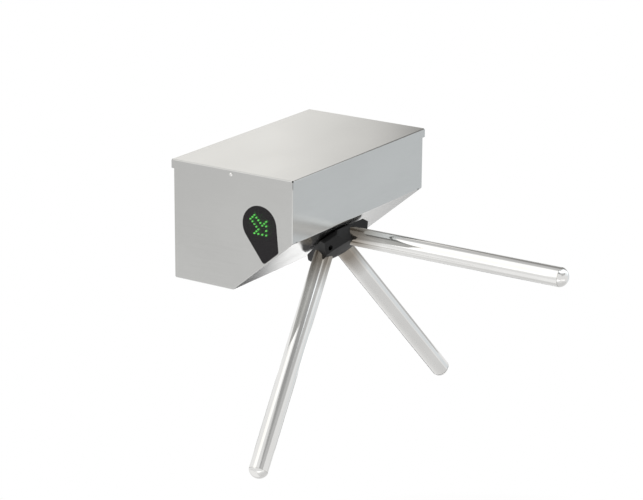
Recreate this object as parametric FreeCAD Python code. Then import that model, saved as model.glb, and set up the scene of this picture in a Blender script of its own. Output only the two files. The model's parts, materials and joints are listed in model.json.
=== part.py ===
"""Wall-hung tripod turnstile: folded steel casing, slanted rotor with three arms, lock and centring drive.

Millimetres, +Z up. The wall plane is X = 0 and the passage is towards +X; the origin is the centre of the
four wall anchors. Left is -Y and right is +Y, as seen from the passage. Rotor pieces are drawn in the
rotor's own frame (origin where the three arm axes meet, z out along the axis, x down the slant, y = +Y)
and are then laid into place.
"""
import math
import os

import FreeCAD
import Part

# Casing and lid
sheet = 1.5
body_depth = 276.0
body_length = 474.0
box_height = 240.0
front_height = 125.0
bend_radius = 3.0
corner_radius = 2.0
rim_flange = 12.0
lid_overhang = 3.0
lid_lip = 18.0
lid_edge_radius = 2.0
lid_slit = 0.8
lid_corner_hole_d = 3.6
relief_hole_d = 4.0
relief_from_end = 15.0
gasket_t = 2.0
gasket_w = 9.0

# Rotor axis and arms
tilt = 50.0
axis_from_bend = 81.0
apex_depth = 9.0
arm_d = 38.0
arm_wall = 1.5
arm_reach = 528.0
arm_dome = 14.0
arm_seam = 0.8
arm_plug = 20.0
arm_count = 3

# Hub
hub_gap = 3.0
hub_radius = 76.0
hub_back_radius = 68.0
hub_front_radius = 59.0
hub_rim_height = 9.0
hub_height = 29.0
hub_crown = 7.0
hub_crown_radius = 20.0
hub_flat = 50.0
hub_edge = 2.5
hub_web = 1.8
neck_d = 56.0
neck_reach = 5.5
set_screw_d = 8.0
set_screw_l = 12.0
set_screw_key = 4.0
set_screw_along = 9.0
hub_bolt_d = 12.0
hub_bolt_head_d = 18.0
hub_bolt_head = 7.5
hub_bolt_key = 10.0
hub_cap_d = 26.0
hub_cap_t = 2.0
hub_shaft_seat = 26.0

# Shaft and bearings
shaft_d = 30.0
shaft_flange_d = 48.0
shaft_flange_t = 6.0
shaft_tail = 3.5
bearing_d = 55.0
bearing_w = 13.0
bearing_ring = 4.0
bearing_spacing = 28.0
bearing_shield = 1.0
housing_wall = 8.5
housing_flange_d = 102.0
housing_flange_t = 8.0
housing_lip = 1.0
housing_bolts = 4
housing_bolt_d = 6.0
housing_bolt_turn = 45.0

# Wheels on the shaft
lock_boss = 8.0
lock_radius = 50.0
lock_t = 8.0
lock_notches = 12
notch_depth = 6.5
notch_mouth = 9.0
notch_floor = 6.5
gear_module = 2.0
gear_dedendum = 1.25
gear_teeth = 54
pinion_teeth = 18
gear_boss = 6.0
gear_t = 10.0
pressure_angle = 20.0
backlash = 0.3
encoder_boss = 10.0
encoder_radius = 38.0
encoder_t = 1.5
encoder_slots = 12
encoder_slot_w = 4.0
encoder_slot_l = 7.0
key_w = 8.0
key_h = 7.0
nut_t = 9.0
nut_flats = 46.0

# Mechanism frame
frame_t = 8.0
frame_up = 85.0
frame_down = 88.0
frame_half = 126.0
cheek_t = 6.0
cheek_half_height = 60.0
cheek_window_d = 60.0
foot_w = 30.0
foot_bolt_d = 8.0
foot_bolt_spread = 80.0
frame_depth_below_bearing = 13.0

# Lock pawls and solenoids
pawl_pivot_x = 38.0
pawl_pivot_y = 58.0
pawl_tail = 30.0
pawl_swing = 12.0
pawl_depth = 5.4
pawl_boss = 9.0
pawl_bar = 11.0
pawl_pin_d = 8.0
nose_side = 0.7
plunger_d = 10.0
plunger_engaged = 28.0
link_pin_d = 5.0
link_slot_play = 1.0
fork_cheek = 3.0
solenoid_cheek_gap = 3.4
solenoid_length = 46.0
solenoid_w = 32.0
solenoid_sheet = 3.0
coil_d = 26.0
coil_core = 5.0

# Centring crank and damper
crank_angle = 225.0
damper_angle = 135.0
crank_throw = 12.0
crank_pin_d = 6.0
crank_pin_l = 10.0
crank_axle_d = 10.0
axle_shoulder = 5.0
spring_d = 10.0
spring_wire = 1.8
anchor_post_d = 8.0
anchor_cheek_gap = 6.1
damper_d = 36.0
damper_height = 24.0
damper_shaft_d = 10.0
damper_chamfer = 1.5
damper_floor = 3.0
clip_t = 1.2
clip_w = 3.0

# Indicator windows and light boards
window_radius = 38.7
window_from_back = 201.0
window_from_top = 100.0
tail_left = 83.0
tail_right = 39.0
tail_from_bend_edge = 2.5
tail_corner = 6.0
lens_proud = 0.6
lens_flange = 5.0
lens_flange_t = 2.0
board_gap = 6.2
board_t = 1.6
board_radius = 33.0
board_posts = 3
board_post_d = 6.0
board_post_ring = 29.0
board_screw_d = 2.5
led_pitch = 6.4
led_d = 3.4
led_height = 5.2
led_flange = 0.35
led_flange_t = 0.9
arrow_angle = 45.0
arrow_inward = 3.7
arrow_down = 3.0
arrow_stem_count = 4
arrow_head_count = 3

# Lid screws
lid_screw_d = 4.0
lid_screw_head_d = 7.6
lid_screw_head = 2.4
rivet_nut_wall = 1.1
rivet_nut_flange = 0.8
rivet_nut_l = 9.0

# Proportions of screw and bolt heads, as shares of the head or the shank
dome_edge = 0.3
dome_shoulder_out = 0.75
dome_shoulder_up = 0.8
dome_key = 0.6
dome_key_floor = 0.4
hex_across = 1.65
hex_height = 0.65

# Wall plate and cable entry
wall_plate_t = 6.0
wall_plate_w = 430.0
wall_plate_h = 190.0
wall_plate_corner = 12.0
anchor_spread_y = 380.0
anchor_spread_z = 150.0
anchor_hole_d = 12.0
cable_from_bottom = 50.0
cable_bore_d = 18.0
grommet_wall = 5.0
grommet_lip = 3.0
grommet_lip_t = 2.0

# Seal round the hub's neck
seal_wall = 8.0
seal_lip = 4.0
seal_lip_t = 1.5

# Electronics on the casing floor
control_x = 22.0
control_front_gap = 22.4
control_end_gap = 12.0
control_cheek_gap = 6.0
standoff_h = 10.0
standoff_d = 7.0
standoff_inset = 6.0
terminal_gap = 2.0
terminal_w = 11.0
terminal_h = 12.0
terminal_count = 3
relay_l = 20.0
relay_w = 16.0
relay_h = 16.0
supply_l = 120.0
supply_w = 72.0
supply_h = 38.0
supply_slots = 7
supply_slot_w = 4.0
sensor_w = 16.0
sensor_gap = 0.6
sensor_jaw = 5.0
sensor_reach = 9.0
bracket_t = 3.0

# Clearances
seat_gap = 0.02
running_gap = 0.05
clear_gap = 0.3

# Planes and places worked out from the sizes above
Vec = FreeCAD.Vector
Z_AXIS = Vec(0, 0, 1)
sin_t = math.sin(math.radians(tilt))
cos_t = math.cos(math.radians(tilt))
z_lid = box_height / 2
z_bottom = -box_height / 2
z_rim = z_lid - sheet - gasket_t
z_bend = z_lid - front_height
cable_z = z_bottom + cable_from_bottom
x_back = wall_plate_t
x_front = x_back + body_depth
y_end = body_length / 2
arm_r = arm_d / 2
shaft_r = shaft_d / 2
neck_r = neck_d / 2
bearing_r = bearing_d / 2

foot_on_slant = Vec(x_front - sin_t * axis_from_bend, 0, z_bend - cos_t * axis_from_bend)
apex = foot_on_slant - Vec(cos_t, 0, -sin_t) * apex_depth
ROTOR = FreeCAD.Placement(apex, FreeCAD.Rotation(Vec(0, 1, 0), 90 + tilt))

z_slant = apex_depth
z_hub_back = z_slant + hub_gap
z_hub_rim = z_hub_back + hub_rim_height
z_hub_front = z_hub_back + hub_height
z_hub_top = z_hub_front + hub_crown
z_neck_end = z_slant - sheet - neck_reach
z_bearing_1 = z_neck_end - shaft_flange_t
z_bearing_1_end = z_bearing_1 - bearing_w
z_bearing_2 = z_bearing_1_end - bearing_spacing
z_bearing_2_end = z_bearing_2 - bearing_w
z_lock = z_bearing_2_end - lock_boss
z_lock_end = z_lock - lock_t
z_gear = z_lock_end - gear_boss
z_gear_end = z_gear - gear_t
z_encoder = z_gear_end - encoder_boss
z_encoder_end = z_encoder - encoder_t
z_nut_end = z_encoder_end - nut_t
z_shaft_end = z_nut_end - shaft_tail
z_frame = z_bearing_1_end - frame_depth_below_bearing
z_frame_end = z_frame - frame_t
z_pawl = z_lock - clear_gap
z_pawl_end = z_lock_end + clear_gap
z_link = (z_pawl + z_pawl_end) / 2

bore_r = arm_r + running_gap
arm_start = (z_hub_back + hub_web + bore_r * sin_t) / cos_t
set_screw_s = arm_start + set_screw_along
y_solenoid = frame_half - solenoid_cheek_gap - solenoid_length

gear_r = gear_module * gear_teeth / 2
pinion_r = gear_module * pinion_teeth / 2
mesh_distance = gear_r + pinion_r

window_centre = Vec(x_back + window_from_back, 0, z_lid - window_from_top)
arrow_centre = window_centre - Vec(arrow_inward, 0, arrow_down)


def prism_y(points, y0, y1):
    """A polygon of (x, z) points carried from y0 to y1."""
    wire = Part.makePolygon([Vec(x, y0, z) for x, z in points + points[:1]])
    return Part.Face(wire).extrude(Vec(0, y1 - y0, 0))


def prism_z(points, z0, z1):
    """A polygon of (x, y) points carried from z0 to z1."""
    wire = Part.makePolygon([Vec(x, y, z0) for x, y in points + points[:1]])
    return Part.Face(wire).extrude(Vec(0, 0, z1 - z0))


def box(x0, x1, y0, y1, z0, z1):
    """A block between two corners, given as pairs along X, Y and Z."""
    return Part.makeBox(x1 - x0, y1 - y0, z1 - z0, Vec(x0, y0, z0))


def disc(radius, z0, z1, x=0.0, y=0.0):
    """An upright cylinder from z0 to z1, in either order."""
    low = min(z0, z1)
    return Part.makeCylinder(radius, abs(z1 - z0), Vec(x, y, low), Z_AXIS)


def ring(outer, inner, z0, z1, x=0.0, y=0.0):
    """An upright tube from z0 to z1."""
    return disc(outer, z0, z1, x, y).cut(disc(inner, z0, z1, x, y))


def rod(radius, start, end):
    """A cylinder from one point to another."""
    run = end - start
    return Part.makeCylinder(radius, run.Length, start, run)


def turned(edges):
    """A solid of revolution about Z from the edges of half its section."""
    face = Part.Face(Part.Wire(edges))
    return face.revolve(Vec(0, 0, 0), Z_AXIS, 360)


def turned_outline(points):
    """A solid of revolution about Z from straight-sided (radius, z) points."""
    loop = [Vec(r, 0, z) for r, z in points + points[:1]]
    return turned([Part.makeLine(a, b) for a, b in zip(loop, loop[1:])])


def fused(shapes):
    """One solid from overlapping solids, with the seams taken out."""
    whole = shapes[0].multiFuse(shapes[1:]) if len(shapes) > 1 else shapes[0]
    return whole.removeSplitter()


def group(shapes):
    """Several separate solids kept in one node."""
    return Part.makeCompound(shapes)


def hexagon(flats, z0, z1):
    """An upright hexagonal prism, measured across its flats."""
    corner = flats / math.sqrt(3)
    turns = [math.radians(60 * i) for i in range(6)]
    return prism_z([(corner * math.cos(t), corner * math.sin(t)) for t in turns], z0, z1)


def laid(shape):
    """A rotor-frame shape laid into place on the slant."""
    placed = shape.copy()
    placed.Placement = ROTOR.multiply(shape.Placement)
    return placed


def turned_to(shape, degrees):
    """A copy of a rotor-frame shape turned about the rotor axis."""
    copy = shape.copy()
    copy.rotate(Vec(0, 0, 0), Z_AXIS, degrees)
    return copy


def mirrored_y(shape):
    """The mirror image of a shape through the plane Y = 0."""
    return shape.mirror(Vec(0, 0, 0), Vec(0, 1, 0))


def section(inset, top):
    """The casing's side outline, moved inwards by inset, as (x, z) points up to a top height."""
    floor = z_bottom + inset
    slant_x = x_front + (sin_t * (floor - z_bend) - inset) / cos_t
    slant_z = z_bend + inset * (1 - cos_t) / sin_t
    front = x_front - inset
    return [(x_back + inset, floor), (slant_x, floor), (front, slant_z), (front, top), (x_back + inset, top)]


def along_y(edge):
    """Whether an edge runs along Y."""
    a, b = edge.Vertexes[0].Point, edge.Vertexes[-1].Point
    return abs(a.y - b.y) > abs(a.x - b.x) + abs(a.z - b.z)


def is_seam(edge):
    """Whether an edge is only the seam of a round face, and no corner."""
    return edge.Vertexes[0].Point.y == 0 and edge.BoundBox.YLength < seat_gap


def on_end(edge):
    """Whether an edge lies on one of the casing's two end faces."""
    return edge.BoundBox.YLength < sheet and abs(edge.Vertexes[0].Point.y) > y_end - sheet


def below(edge, height):
    """Whether an edge has an end under a height."""
    return min(v.Point.z for v in edge.Vertexes) < height - sheet


def window_outline():
    """The teardrop window in the plane Y = 0: a round top and two straight sides down to the slant."""
    down = Vec(-sin_t, 0, -cos_t)
    inward = Vec(-cos_t, 0, sin_t) * tail_from_bend_edge
    bend = Vec(x_front, 0, z_bend)
    right = bend + down * tail_right + inward
    left = bend + down * tail_left + inward
    ends = []
    for corner, side in ((right, 1), (left, -1)):
        away = corner - window_centre
        lean = math.atan2(away.z, away.x) + side * math.acos(window_radius / away.Length)
        ends.append(window_centre + Vec(math.cos(lean), 0, math.sin(lean)) * window_radius)
    top = window_centre - (right + left - window_centre * 2).normalize() * window_radius
    arc = Part.Arc(ends[0], top, ends[1]).toShape()
    lines = [Part.makeLine(a, b) for a, b in ((ends[1], left), (left, right), (right, ends[0]))]
    return Part.Wire([arc] + lines)


def window_plate(offset, y0, y1):
    """The window's outline grown by an offset and carried from y0 to y1, its two lower corners rounded."""
    solid = Part.Face(window_outline()).extrude(Vec(0, y1 - y0, 0))
    tail = window_centre.z - window_radius
    corners = [e for e in solid.Edges if along_y(e) and e.Vertexes[0].Point.z < tail]
    solid = solid.makeFillet(tail_corner, corners)
    flat = min(solid.Faces, key=lambda f: f.CenterOfMass.y * (1 if y1 > y0 else -1))
    outline = flat.OuterWire.makeOffset2D(offset) if offset else flat.OuterWire
    plate = Part.Face(outline).extrude(Vec(0, y1 - y0, 0))
    plate.translate(Vec(0, y0, 0))
    return plate


def pair(shape):
    """A left-or-right piece and its mirror image, as separate solids of one node."""
    return group(shape.Solids + mirrored_y(shape).Solids)


def lid_screw_place(side):
    """The centre of a lid screw, on the outside of an end lip and midway along it."""
    y = side * (y_end + lid_overhang)
    return Vec(x_back + body_depth / 2, y, z_lid - lid_lip / 2)


def anchor_places():
    """The four wall anchors, as (y, z)."""
    return [(sy * anchor_spread_y / 2, sz * anchor_spread_z / 2) for sy in (-1, 1) for sz in (-1, 1)]


def foot_bolt_places():
    """The four bolts that hold the mechanism frame to the wall plate, as (y, z)."""
    y = frame_half + cheek_t + foot_w / 2
    return [(sy * y, sz * foot_bolt_spread / 2) for sy in (-1, 1) for sz in (-1, 1)]


def along_x(radius, y, z, x0, x1):
    """A cylinder along X at (y, z)."""
    return rod(radius, Vec(x0, y, z), Vec(x1, y, z))


def make_casing():
    """The folded casing: shell with a turned-in rim, rotor opening, windows, anchor and screw holes."""
    outer = prism_y(section(0, z_rim), -y_end, y_end)
    outer = outer.makeFillet(bend_radius, [e for e in outer.Edges if along_y(e) and below(e, z_rim)])
    outer = outer.makeFillet(corner_radius, [e for e in outer.Edges if on_end(e) and below(e, z_rim)])
    inner = prism_y(section(sheet, z_rim - sheet), -y_end + sheet, y_end - sheet)
    inner_bends = [e for e in inner.Edges if along_y(e) and below(e, z_rim - sheet)]
    inner = inner.makeFillet(bend_radius - sheet, inner_bends)
    mouth = box(x_back + rim_flange, x_front - rim_flange, -y_end + rim_flange, y_end - rim_flange,
                z_rim - 2 * sheet, z_rim + sheet)
    cuts = [inner, mouth, laid(disc(neck_r + seal_wall, z_slant - 2 * sheet, z_slant + sheet))]
    wall = (x_back - sheet, x_back + 2 * sheet)
    cuts += [along_x(anchor_hole_d / 2, y, z, *wall) for y, z in anchor_places()]
    cuts += [along_x(foot_bolt_d / 2 + clear_gap, y, z, *wall) for y, z in foot_bolt_places()]
    cuts.append(along_x(cable_bore_d / 2 + grommet_wall, 0, cable_z, *wall))
    nut_r = lid_screw_d / 2 + rivet_nut_wall
    for side in (-1, 1):
        cuts.append(window_plate(0, side * (y_end - 2 * sheet), side * (y_end + sheet)))
        place = lid_screw_place(side)
        hole = Vec(place.x, side * (y_end - 2 * sheet), place.z)
        cuts.append(rod(nut_r + seat_gap, hole, hole + Vec(0, side * 3 * sheet, 0)))
        corner = Vec(x_front, side * (y_end - relief_from_end), z_bend)
        lean = Vec(1 + cos_t, 0, -sin_t).normalize() * (bend_radius + sheet)
        cuts.append(rod(relief_hole_d / 2, corner - lean, corner + lean))
    return outer.cut(cuts)


def make_lid():
    """The folded lid: top sheet with four lips, a hole and slit at each corner, holes for the end screws."""
    x0, x1 = x_back - lid_overhang, x_front + lid_overhang
    y1 = y_end + lid_overhang
    outer = box(x0, x1, -y1, y1, z_lid - lid_lip, z_lid)
    top_edges = [e for e in outer.Edges if min(v.Point.z for v in e.Vertexes) > z_lid - sheet]
    outer = outer.makeFillet(lid_edge_radius, top_edges)
    inner = box(x0 + sheet, x1 - sheet, -y1 + sheet, y1 - sheet, z_lid - 2 * lid_lip, z_lid - sheet)
    cuts = [inner]
    slit_top = z_lid - lid_edge_radius
    for x in (x0, x1):
        for y in (-y1, y1):
            slit = box(-3 * sheet, 3 * sheet, -lid_slit / 2, lid_slit / 2, z_lid - 2 * lid_lip, slit_top)
            slit.rotate(Vec(0, 0, 0), Z_AXIS, math.degrees(math.atan2(y, x - (x0 + x1) / 2)) // 90 * 90 + 45)
            slit.translate(Vec(x, y, 0))
            cuts.append(slit)
            corner = Vec(x, y, z_lid)
            inward = Vec(math.copysign(1, x0 + x1 - 2 * x), math.copysign(1, -y), -1) * lid_corner_hole_d
            cuts.append(rod(lid_corner_hole_d / 2, corner - inward, corner + inward))
    for side in (-1, 1):
        place = lid_screw_place(side)
        reach = Vec(0, 3 * sheet, 0)
        cuts.append(rod(lid_screw_d / 2 + clear_gap, place - reach, place + reach))
    return outer.cut(cuts)


def make_lid_gasket():
    """The foam frame between the casing's rim and the lid."""
    low, high = z_rim, z_lid - sheet
    frame = box(x_back, x_front, -y_end, y_end, low, high)
    frame = frame.makeFillet(corner_radius, [e for e in frame.Edges if e.BoundBox.ZLength > gasket_t / 2])
    hole = box(x_back + gasket_w, x_front - gasket_w, -y_end + gasket_w, y_end - gasket_w, low, high)
    return frame.cut(hole)


def domed_screw(head_d, head, shank_d, length):
    """A dome-headed screw along Z, its seat at z = 0, its shank below and a hexagon socket in its head."""
    head_r, shank_r = head_d / 2, shank_d / 2
    edge = Vec(head_r, 0, head * dome_edge)
    shoulder = Vec(head_r * dome_shoulder_out, 0, head * dome_shoulder_up)
    crown = Vec(0, 0, head)
    seat = [Vec(0, 0, -length), Vec(shank_r, 0, -length), Vec(shank_r, 0, 0), Vec(head_r, 0, 0)]
    points = [crown] + seat + [edge]
    edges = [Part.makeLine(a, b) for a, b in zip(points, points[1:])]
    edges.append(Part.Arc(edge, shoulder, crown).toShape())
    return turned(edges).cut(hexagon(shank_d * dome_key, head * dome_key_floor, 2 * head))


def hex_bolt(shank_d, length):
    """A hexagon-headed bolt along Z, its seat at z = 0 and its shank below."""
    return fused([hexagon(shank_d * hex_across, 0, shank_d * hex_height), disc(shank_d / 2, -length, 0)])


def make_lid_fixings():
    """The lid's screws and the rivet nuts that they turn into, one of each on either end."""
    screws, nuts = [], []
    gap = lid_overhang - sheet
    for side in (-1, 1):
        place = lid_screw_place(side)
        out = FreeCAD.Rotation(Z_AXIS, Vec(0, side, 0))
        screw = domed_screw(lid_screw_head_d, lid_screw_head, lid_screw_d, lid_overhang + rivet_nut_l - sheet)
        screw.Placement = FreeCAD.Placement(place, out)
        screws.append(screw)
        nut_r = lid_screw_d / 2 + rivet_nut_wall
        flange = disc(nut_r + rivet_nut_wall, 0, min(rivet_nut_flange, gap / 2))
        nut = fused([disc(nut_r, 0, -rivet_nut_l), flange])
        nut = nut.cut(disc(lid_screw_d / 2 + seat_gap, -rivet_nut_l, gap))
        nut.Placement = FreeCAD.Placement(Vec(place.x, side * y_end, place.z), out)
        nuts.append(nut)
    return group(screws), group(nuts)


def arrow_places():
    """The lamps of the arrow outline, as (along, across) steps from the arrow's middle."""
    stem, head = arrow_stem_count, arrow_head_count
    steps = [(0, 0), (stem + head, 0)]
    for side in (-1, 1):
        steps += [(i, side) for i in range(stem + 1)]
        steps += [(stem, side * j) for j in range(2, head + 1)]
        steps += [(stem + i, side * (head - i)) for i in range(1, head)]
    return [(i - (stem + head) / 2, j) for i, j in steps]


def make_lamp():
    """One lamp standing on its foot: a thin flange, a straight body and a half-round dome."""
    radius = led_d / 2
    wide, neck = radius + led_flange, led_height - radius
    half = math.radians(45)
    crown, shoulder = Vec(0, 0, led_height), Vec(radius, 0, neck)
    points = [crown, Vec(0, 0, 0), Vec(wide, 0, 0), Vec(wide, 0, led_flange_t), Vec(radius, 0, led_flange_t)]
    points.append(shoulder)
    lines = [Part.makeLine(a, b) for a, b in zip(points, points[1:])]
    mid = Vec(radius * math.cos(half), 0, neck + radius * math.sin(half))
    return turned(lines + [Part.Arc(shoulder, mid, crown).toShape()])


def make_left_indicator():
    """The left end's lens, light board, lamps and board screws."""
    y_in = -y_end + sheet
    y_flange = y_in + lens_flange_t
    y_board = y_flange + board_gap
    pane = window_plate(-clear_gap / 2, -y_end - lens_proud, y_in)
    inside = prism_y(section(sheet + clear_gap, z_rim), y_in, y_flange)
    flange = window_plate(lens_flange, y_in, y_flange).common(inside)
    posts, screws = [], []
    for i in range(board_posts):
        turn = math.radians(90 + 360 * i / board_posts - arrow_angle)
        place = arrow_centre + Vec(math.cos(turn), 0, math.sin(turn)) * board_post_ring
        at = [Vec(place.x, y, place.z) for y in (y_flange, y_board, y_board + board_t)]
        post = rod(board_post_d / 2, at[0], at[1])
        posts.append(post.cut(rod(board_screw_d / 2 + seat_gap, at[0], at[1])))
        screw = domed_screw(2 * board_screw_d, board_screw_d / 2, board_screw_d, board_t + board_gap / 2)
        screw.Placement = FreeCAD.Placement(at[2], FreeCAD.Rotation(Z_AXIS, Vec(0, 1, 0)))
        screws.append(screw)
    lens = fused([pane, flange] + posts)
    middle = Vec(arrow_centre.x, y_board, arrow_centre.z)
    board = rod(board_radius, middle, middle + Vec(0, board_t, 0))
    seats = [s.Placement.Base for s in screws]
    board = board.cut([rod(board_screw_d / 2 + clear_gap, p - Vec(0, board_t, 0), p) for p in seats])
    lean = math.radians(arrow_angle)
    along, across = Vec(math.cos(lean), 0, -math.sin(lean)), Vec(math.sin(lean), 0, math.cos(lean))
    lamps = []
    for i, j in arrow_places():
        foot = middle + (along * i + across * j) * led_pitch
        lamp = make_lamp()
        lamp.Placement = FreeCAD.Placement(foot, FreeCAD.Rotation(Z_AXIS, Vec(0, -1, 0)))
        lamps.append(lamp)
    return lens, board, group(lamps), group(screws)


def make_wall_plate():
    """The steel plate between casing and wall, with anchor, foot-bolt and cable holes."""
    half_w, half_h = wall_plate_w / 2, wall_plate_h / 2
    plate = box(0, wall_plate_t, -half_w, half_w, -half_h, half_h)
    corners = [e for e in plate.Edges if e.BoundBox.XLength > wall_plate_t / 2]
    plate = plate.makeFillet(wall_plate_corner, corners)
    through = (-wall_plate_t, 2 * wall_plate_t)
    cuts = [along_x(anchor_hole_d / 2, y, z, *through) for y, z in anchor_places()]
    cuts += [along_x(foot_bolt_d / 2 + seat_gap, y, z, *through) for y, z in foot_bolt_places()]
    cuts.append(along_x(cable_bore_d / 2 + grommet_wall + grommet_lip + clear_gap, 0, cable_z, *through))
    return plate.cut(cuts)


def make_cable_grommet():
    """The rubber grommet in the casing's back, gripping the sheet between two lips."""
    bore, neck = cable_bore_d / 2, cable_bore_d / 2 + grommet_wall
    lip, waist = neck + grommet_lip, neck - clear_gap
    points = [(bore, -grommet_lip_t), (lip, -grommet_lip_t), (lip, 0), (waist, 0), (waist, sheet),
              (lip, sheet), (lip, sheet + grommet_lip_t), (bore, sheet + grommet_lip_t)]
    grommet = turned_outline(points)
    grommet.Placement = FreeCAD.Placement(Vec(x_back, 0, cable_z), FreeCAD.Rotation(Z_AXIS, Vec(1, 0, 0)))
    return grommet


def make_rotor_seal():
    """The rubber ring in the slant's opening, with a lip on each side of the sheet."""
    hole = neck_r + seal_wall
    lip, waist = hole + seal_lip, hole - clear_gap
    bore = neck_r + clear_gap
    low, high = z_slant - sheet, z_slant
    points = [(bore, low - seal_lip_t), (lip, low - seal_lip_t), (lip, low), (waist, low), (waist, high),
              (lip, high), (bore + seal_lip, high + seal_lip_t), (bore, high + seal_lip_t)]
    return turned_outline(points)


def arm_direction():
    """The level arm's direction in the rotor frame, and the direction across it, along the hub's flat."""
    return Vec(-sin_t, 0, cos_t), Vec(0, 1, 0)


def around(shape):
    """A rotor-frame shape repeated for each arm."""
    return [turned_to(shape, 360 * i / arm_count) for i in range(arm_count)]


def make_hub():
    """The hub: a tapered drum with a flat behind each arm, crowned front, neck, arm bores and shaft seat."""
    out, across = arm_direction()
    drum = turned_outline([(0, z_neck_end), (neck_r, z_neck_end), (neck_r, z_hub_back),
                           (hub_back_radius, z_hub_back), (hub_radius, z_hub_rim),
                           (hub_front_radius, z_hub_front), (hub_crown_radius, z_hub_top), (0, z_hub_top)])
    flat = box(-2 * hub_radius, -hub_flat, -hub_radius, hub_radius, z_hub_back, z_hub_top)
    hub = drum.cut(around(flat))
    low, high = z_hub_back + hub_web, z_hub_top - hub_web
    corners = [e for e in hub.Edges if e.BoundBox.ZMax > low and z_slant < e.BoundBox.ZMin < high]
    hub = hub.makeFillet(hub_edge, [e for e in corners if not is_seam(e)])
    bore = rod(bore_r, out * arm_start, out * (arm_start + 2 * hub_radius))
    foot = out * set_screw_s
    screw_hole = rod(set_screw_d / 2 + seat_gap, foot, foot + across * (2 * hub_radius))
    cuts = around(bore) + around(screw_hole)
    cuts.append(disc(shaft_r + seat_gap, z_neck_end, z_neck_end + hub_shaft_seat))
    cuts.append(disc(hub_bolt_d / 2 + clear_gap, z_neck_end, z_hub_top))
    cuts.append(disc(hub_bolt_head_d / 2 + clear_gap, z_hub_top - hub_bolt_head - clear_gap, z_hub_top))
    return hub.cut(cuts)


def make_hub_fixings():
    """The bolt that draws the hub onto the shaft, its cap, and the arms' set screws."""
    seat = z_hub_top - hub_bolt_head - clear_gap
    bolt = fused([disc(hub_bolt_head_d / 2, seat, seat + hub_bolt_head),
                  disc(hub_bolt_d / 2, z_neck_end + hub_shaft_seat - hub_bolt_d, seat)])
    bolt = bolt.cut(hexagon(hub_bolt_key, seat + hub_bolt_head / 3, z_hub_top))
    cap_r = hub_cap_d / 2
    sag = (cap_r ** 2 + hub_cap_t ** 2) / (2 * hub_cap_t)
    half = math.asin(cap_r / sag) / 2
    crown = Vec(0, 0, z_hub_top + hub_cap_t)
    edge = Vec(cap_r, 0, z_hub_top)
    mid = Vec(sag * math.sin(half), 0, crown.z - sag * (1 - math.cos(half)))
    lines = [Part.makeLine(crown, Vec(0, 0, z_hub_top)), Part.makeLine(Vec(0, 0, z_hub_top), edge)]
    cap = turned(lines + [Part.Arc(edge, mid, crown).toShape()])
    out, across = arm_direction()
    inner = out * set_screw_s + across * bore_r
    outer = inner + across * set_screw_l
    key = rod(set_screw_key / 2, outer - across * set_screw_key, outer)
    screw = rod(set_screw_d / 2, inner, outer).cut(key)
    return bolt, cap, group(around(screw))


def make_arm():
    """One level arm and its domed end cap, in the rotor frame."""
    out = arm_direction()[0]
    tube_end = arm_reach - arm_dome - arm_seam
    start, end = out * arm_start, out * tube_end
    tube = rod(arm_r, start, end).cut(rod(arm_r - arm_wall, start, end))
    round_r = (arm_r ** 2 + arm_dome ** 2) / (2 * arm_dome)
    half = math.asin(arm_r / round_r) / 2
    plug_r = arm_r - arm_wall - running_gap
    base = arm_reach - arm_dome
    crown, edge = Vec(0, 0, arm_reach), Vec(arm_r, 0, base)
    mid = Vec(round_r * math.sin(half), 0, arm_reach - round_r * (1 - math.cos(half)))
    plug_end = tube_end - arm_plug
    points = [crown, Vec(0, 0, plug_end), Vec(plug_r, 0, plug_end), Vec(plug_r, 0, base), edge]
    lines = [Part.makeLine(a, b) for a, b in zip(points, points[1:])]
    cap = turned(lines + [Part.Arc(edge, mid, crown).toShape()])
    cap.Placement = FreeCAD.Placement(Vec(0, 0, 0), FreeCAD.Rotation(Z_AXIS, out))
    return tube, cap


def key_block(width, taller, shorter):
    """The key's block on the shaft's +x side, from the gear to the lock disc."""
    low, high = shaft_r - key_h / 2, shaft_r + key_h / 2 + taller
    return box(low, high, -width / 2, width / 2, z_gear_end + shorter, z_lock - shorter)


def make_shaft():
    """The rotor shaft with its flange, tapped end, keyway and tail."""
    end = z_neck_end + hub_shaft_seat
    body = fused([disc(shaft_r, z_shaft_end, end), disc(shaft_flange_d / 2, z_bearing_1, z_neck_end)])
    tapped = disc(hub_bolt_d / 2 + seat_gap, end - hub_bolt_d, end)
    return body.cut([tapped, key_block(key_w, 0, 0)])


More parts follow.
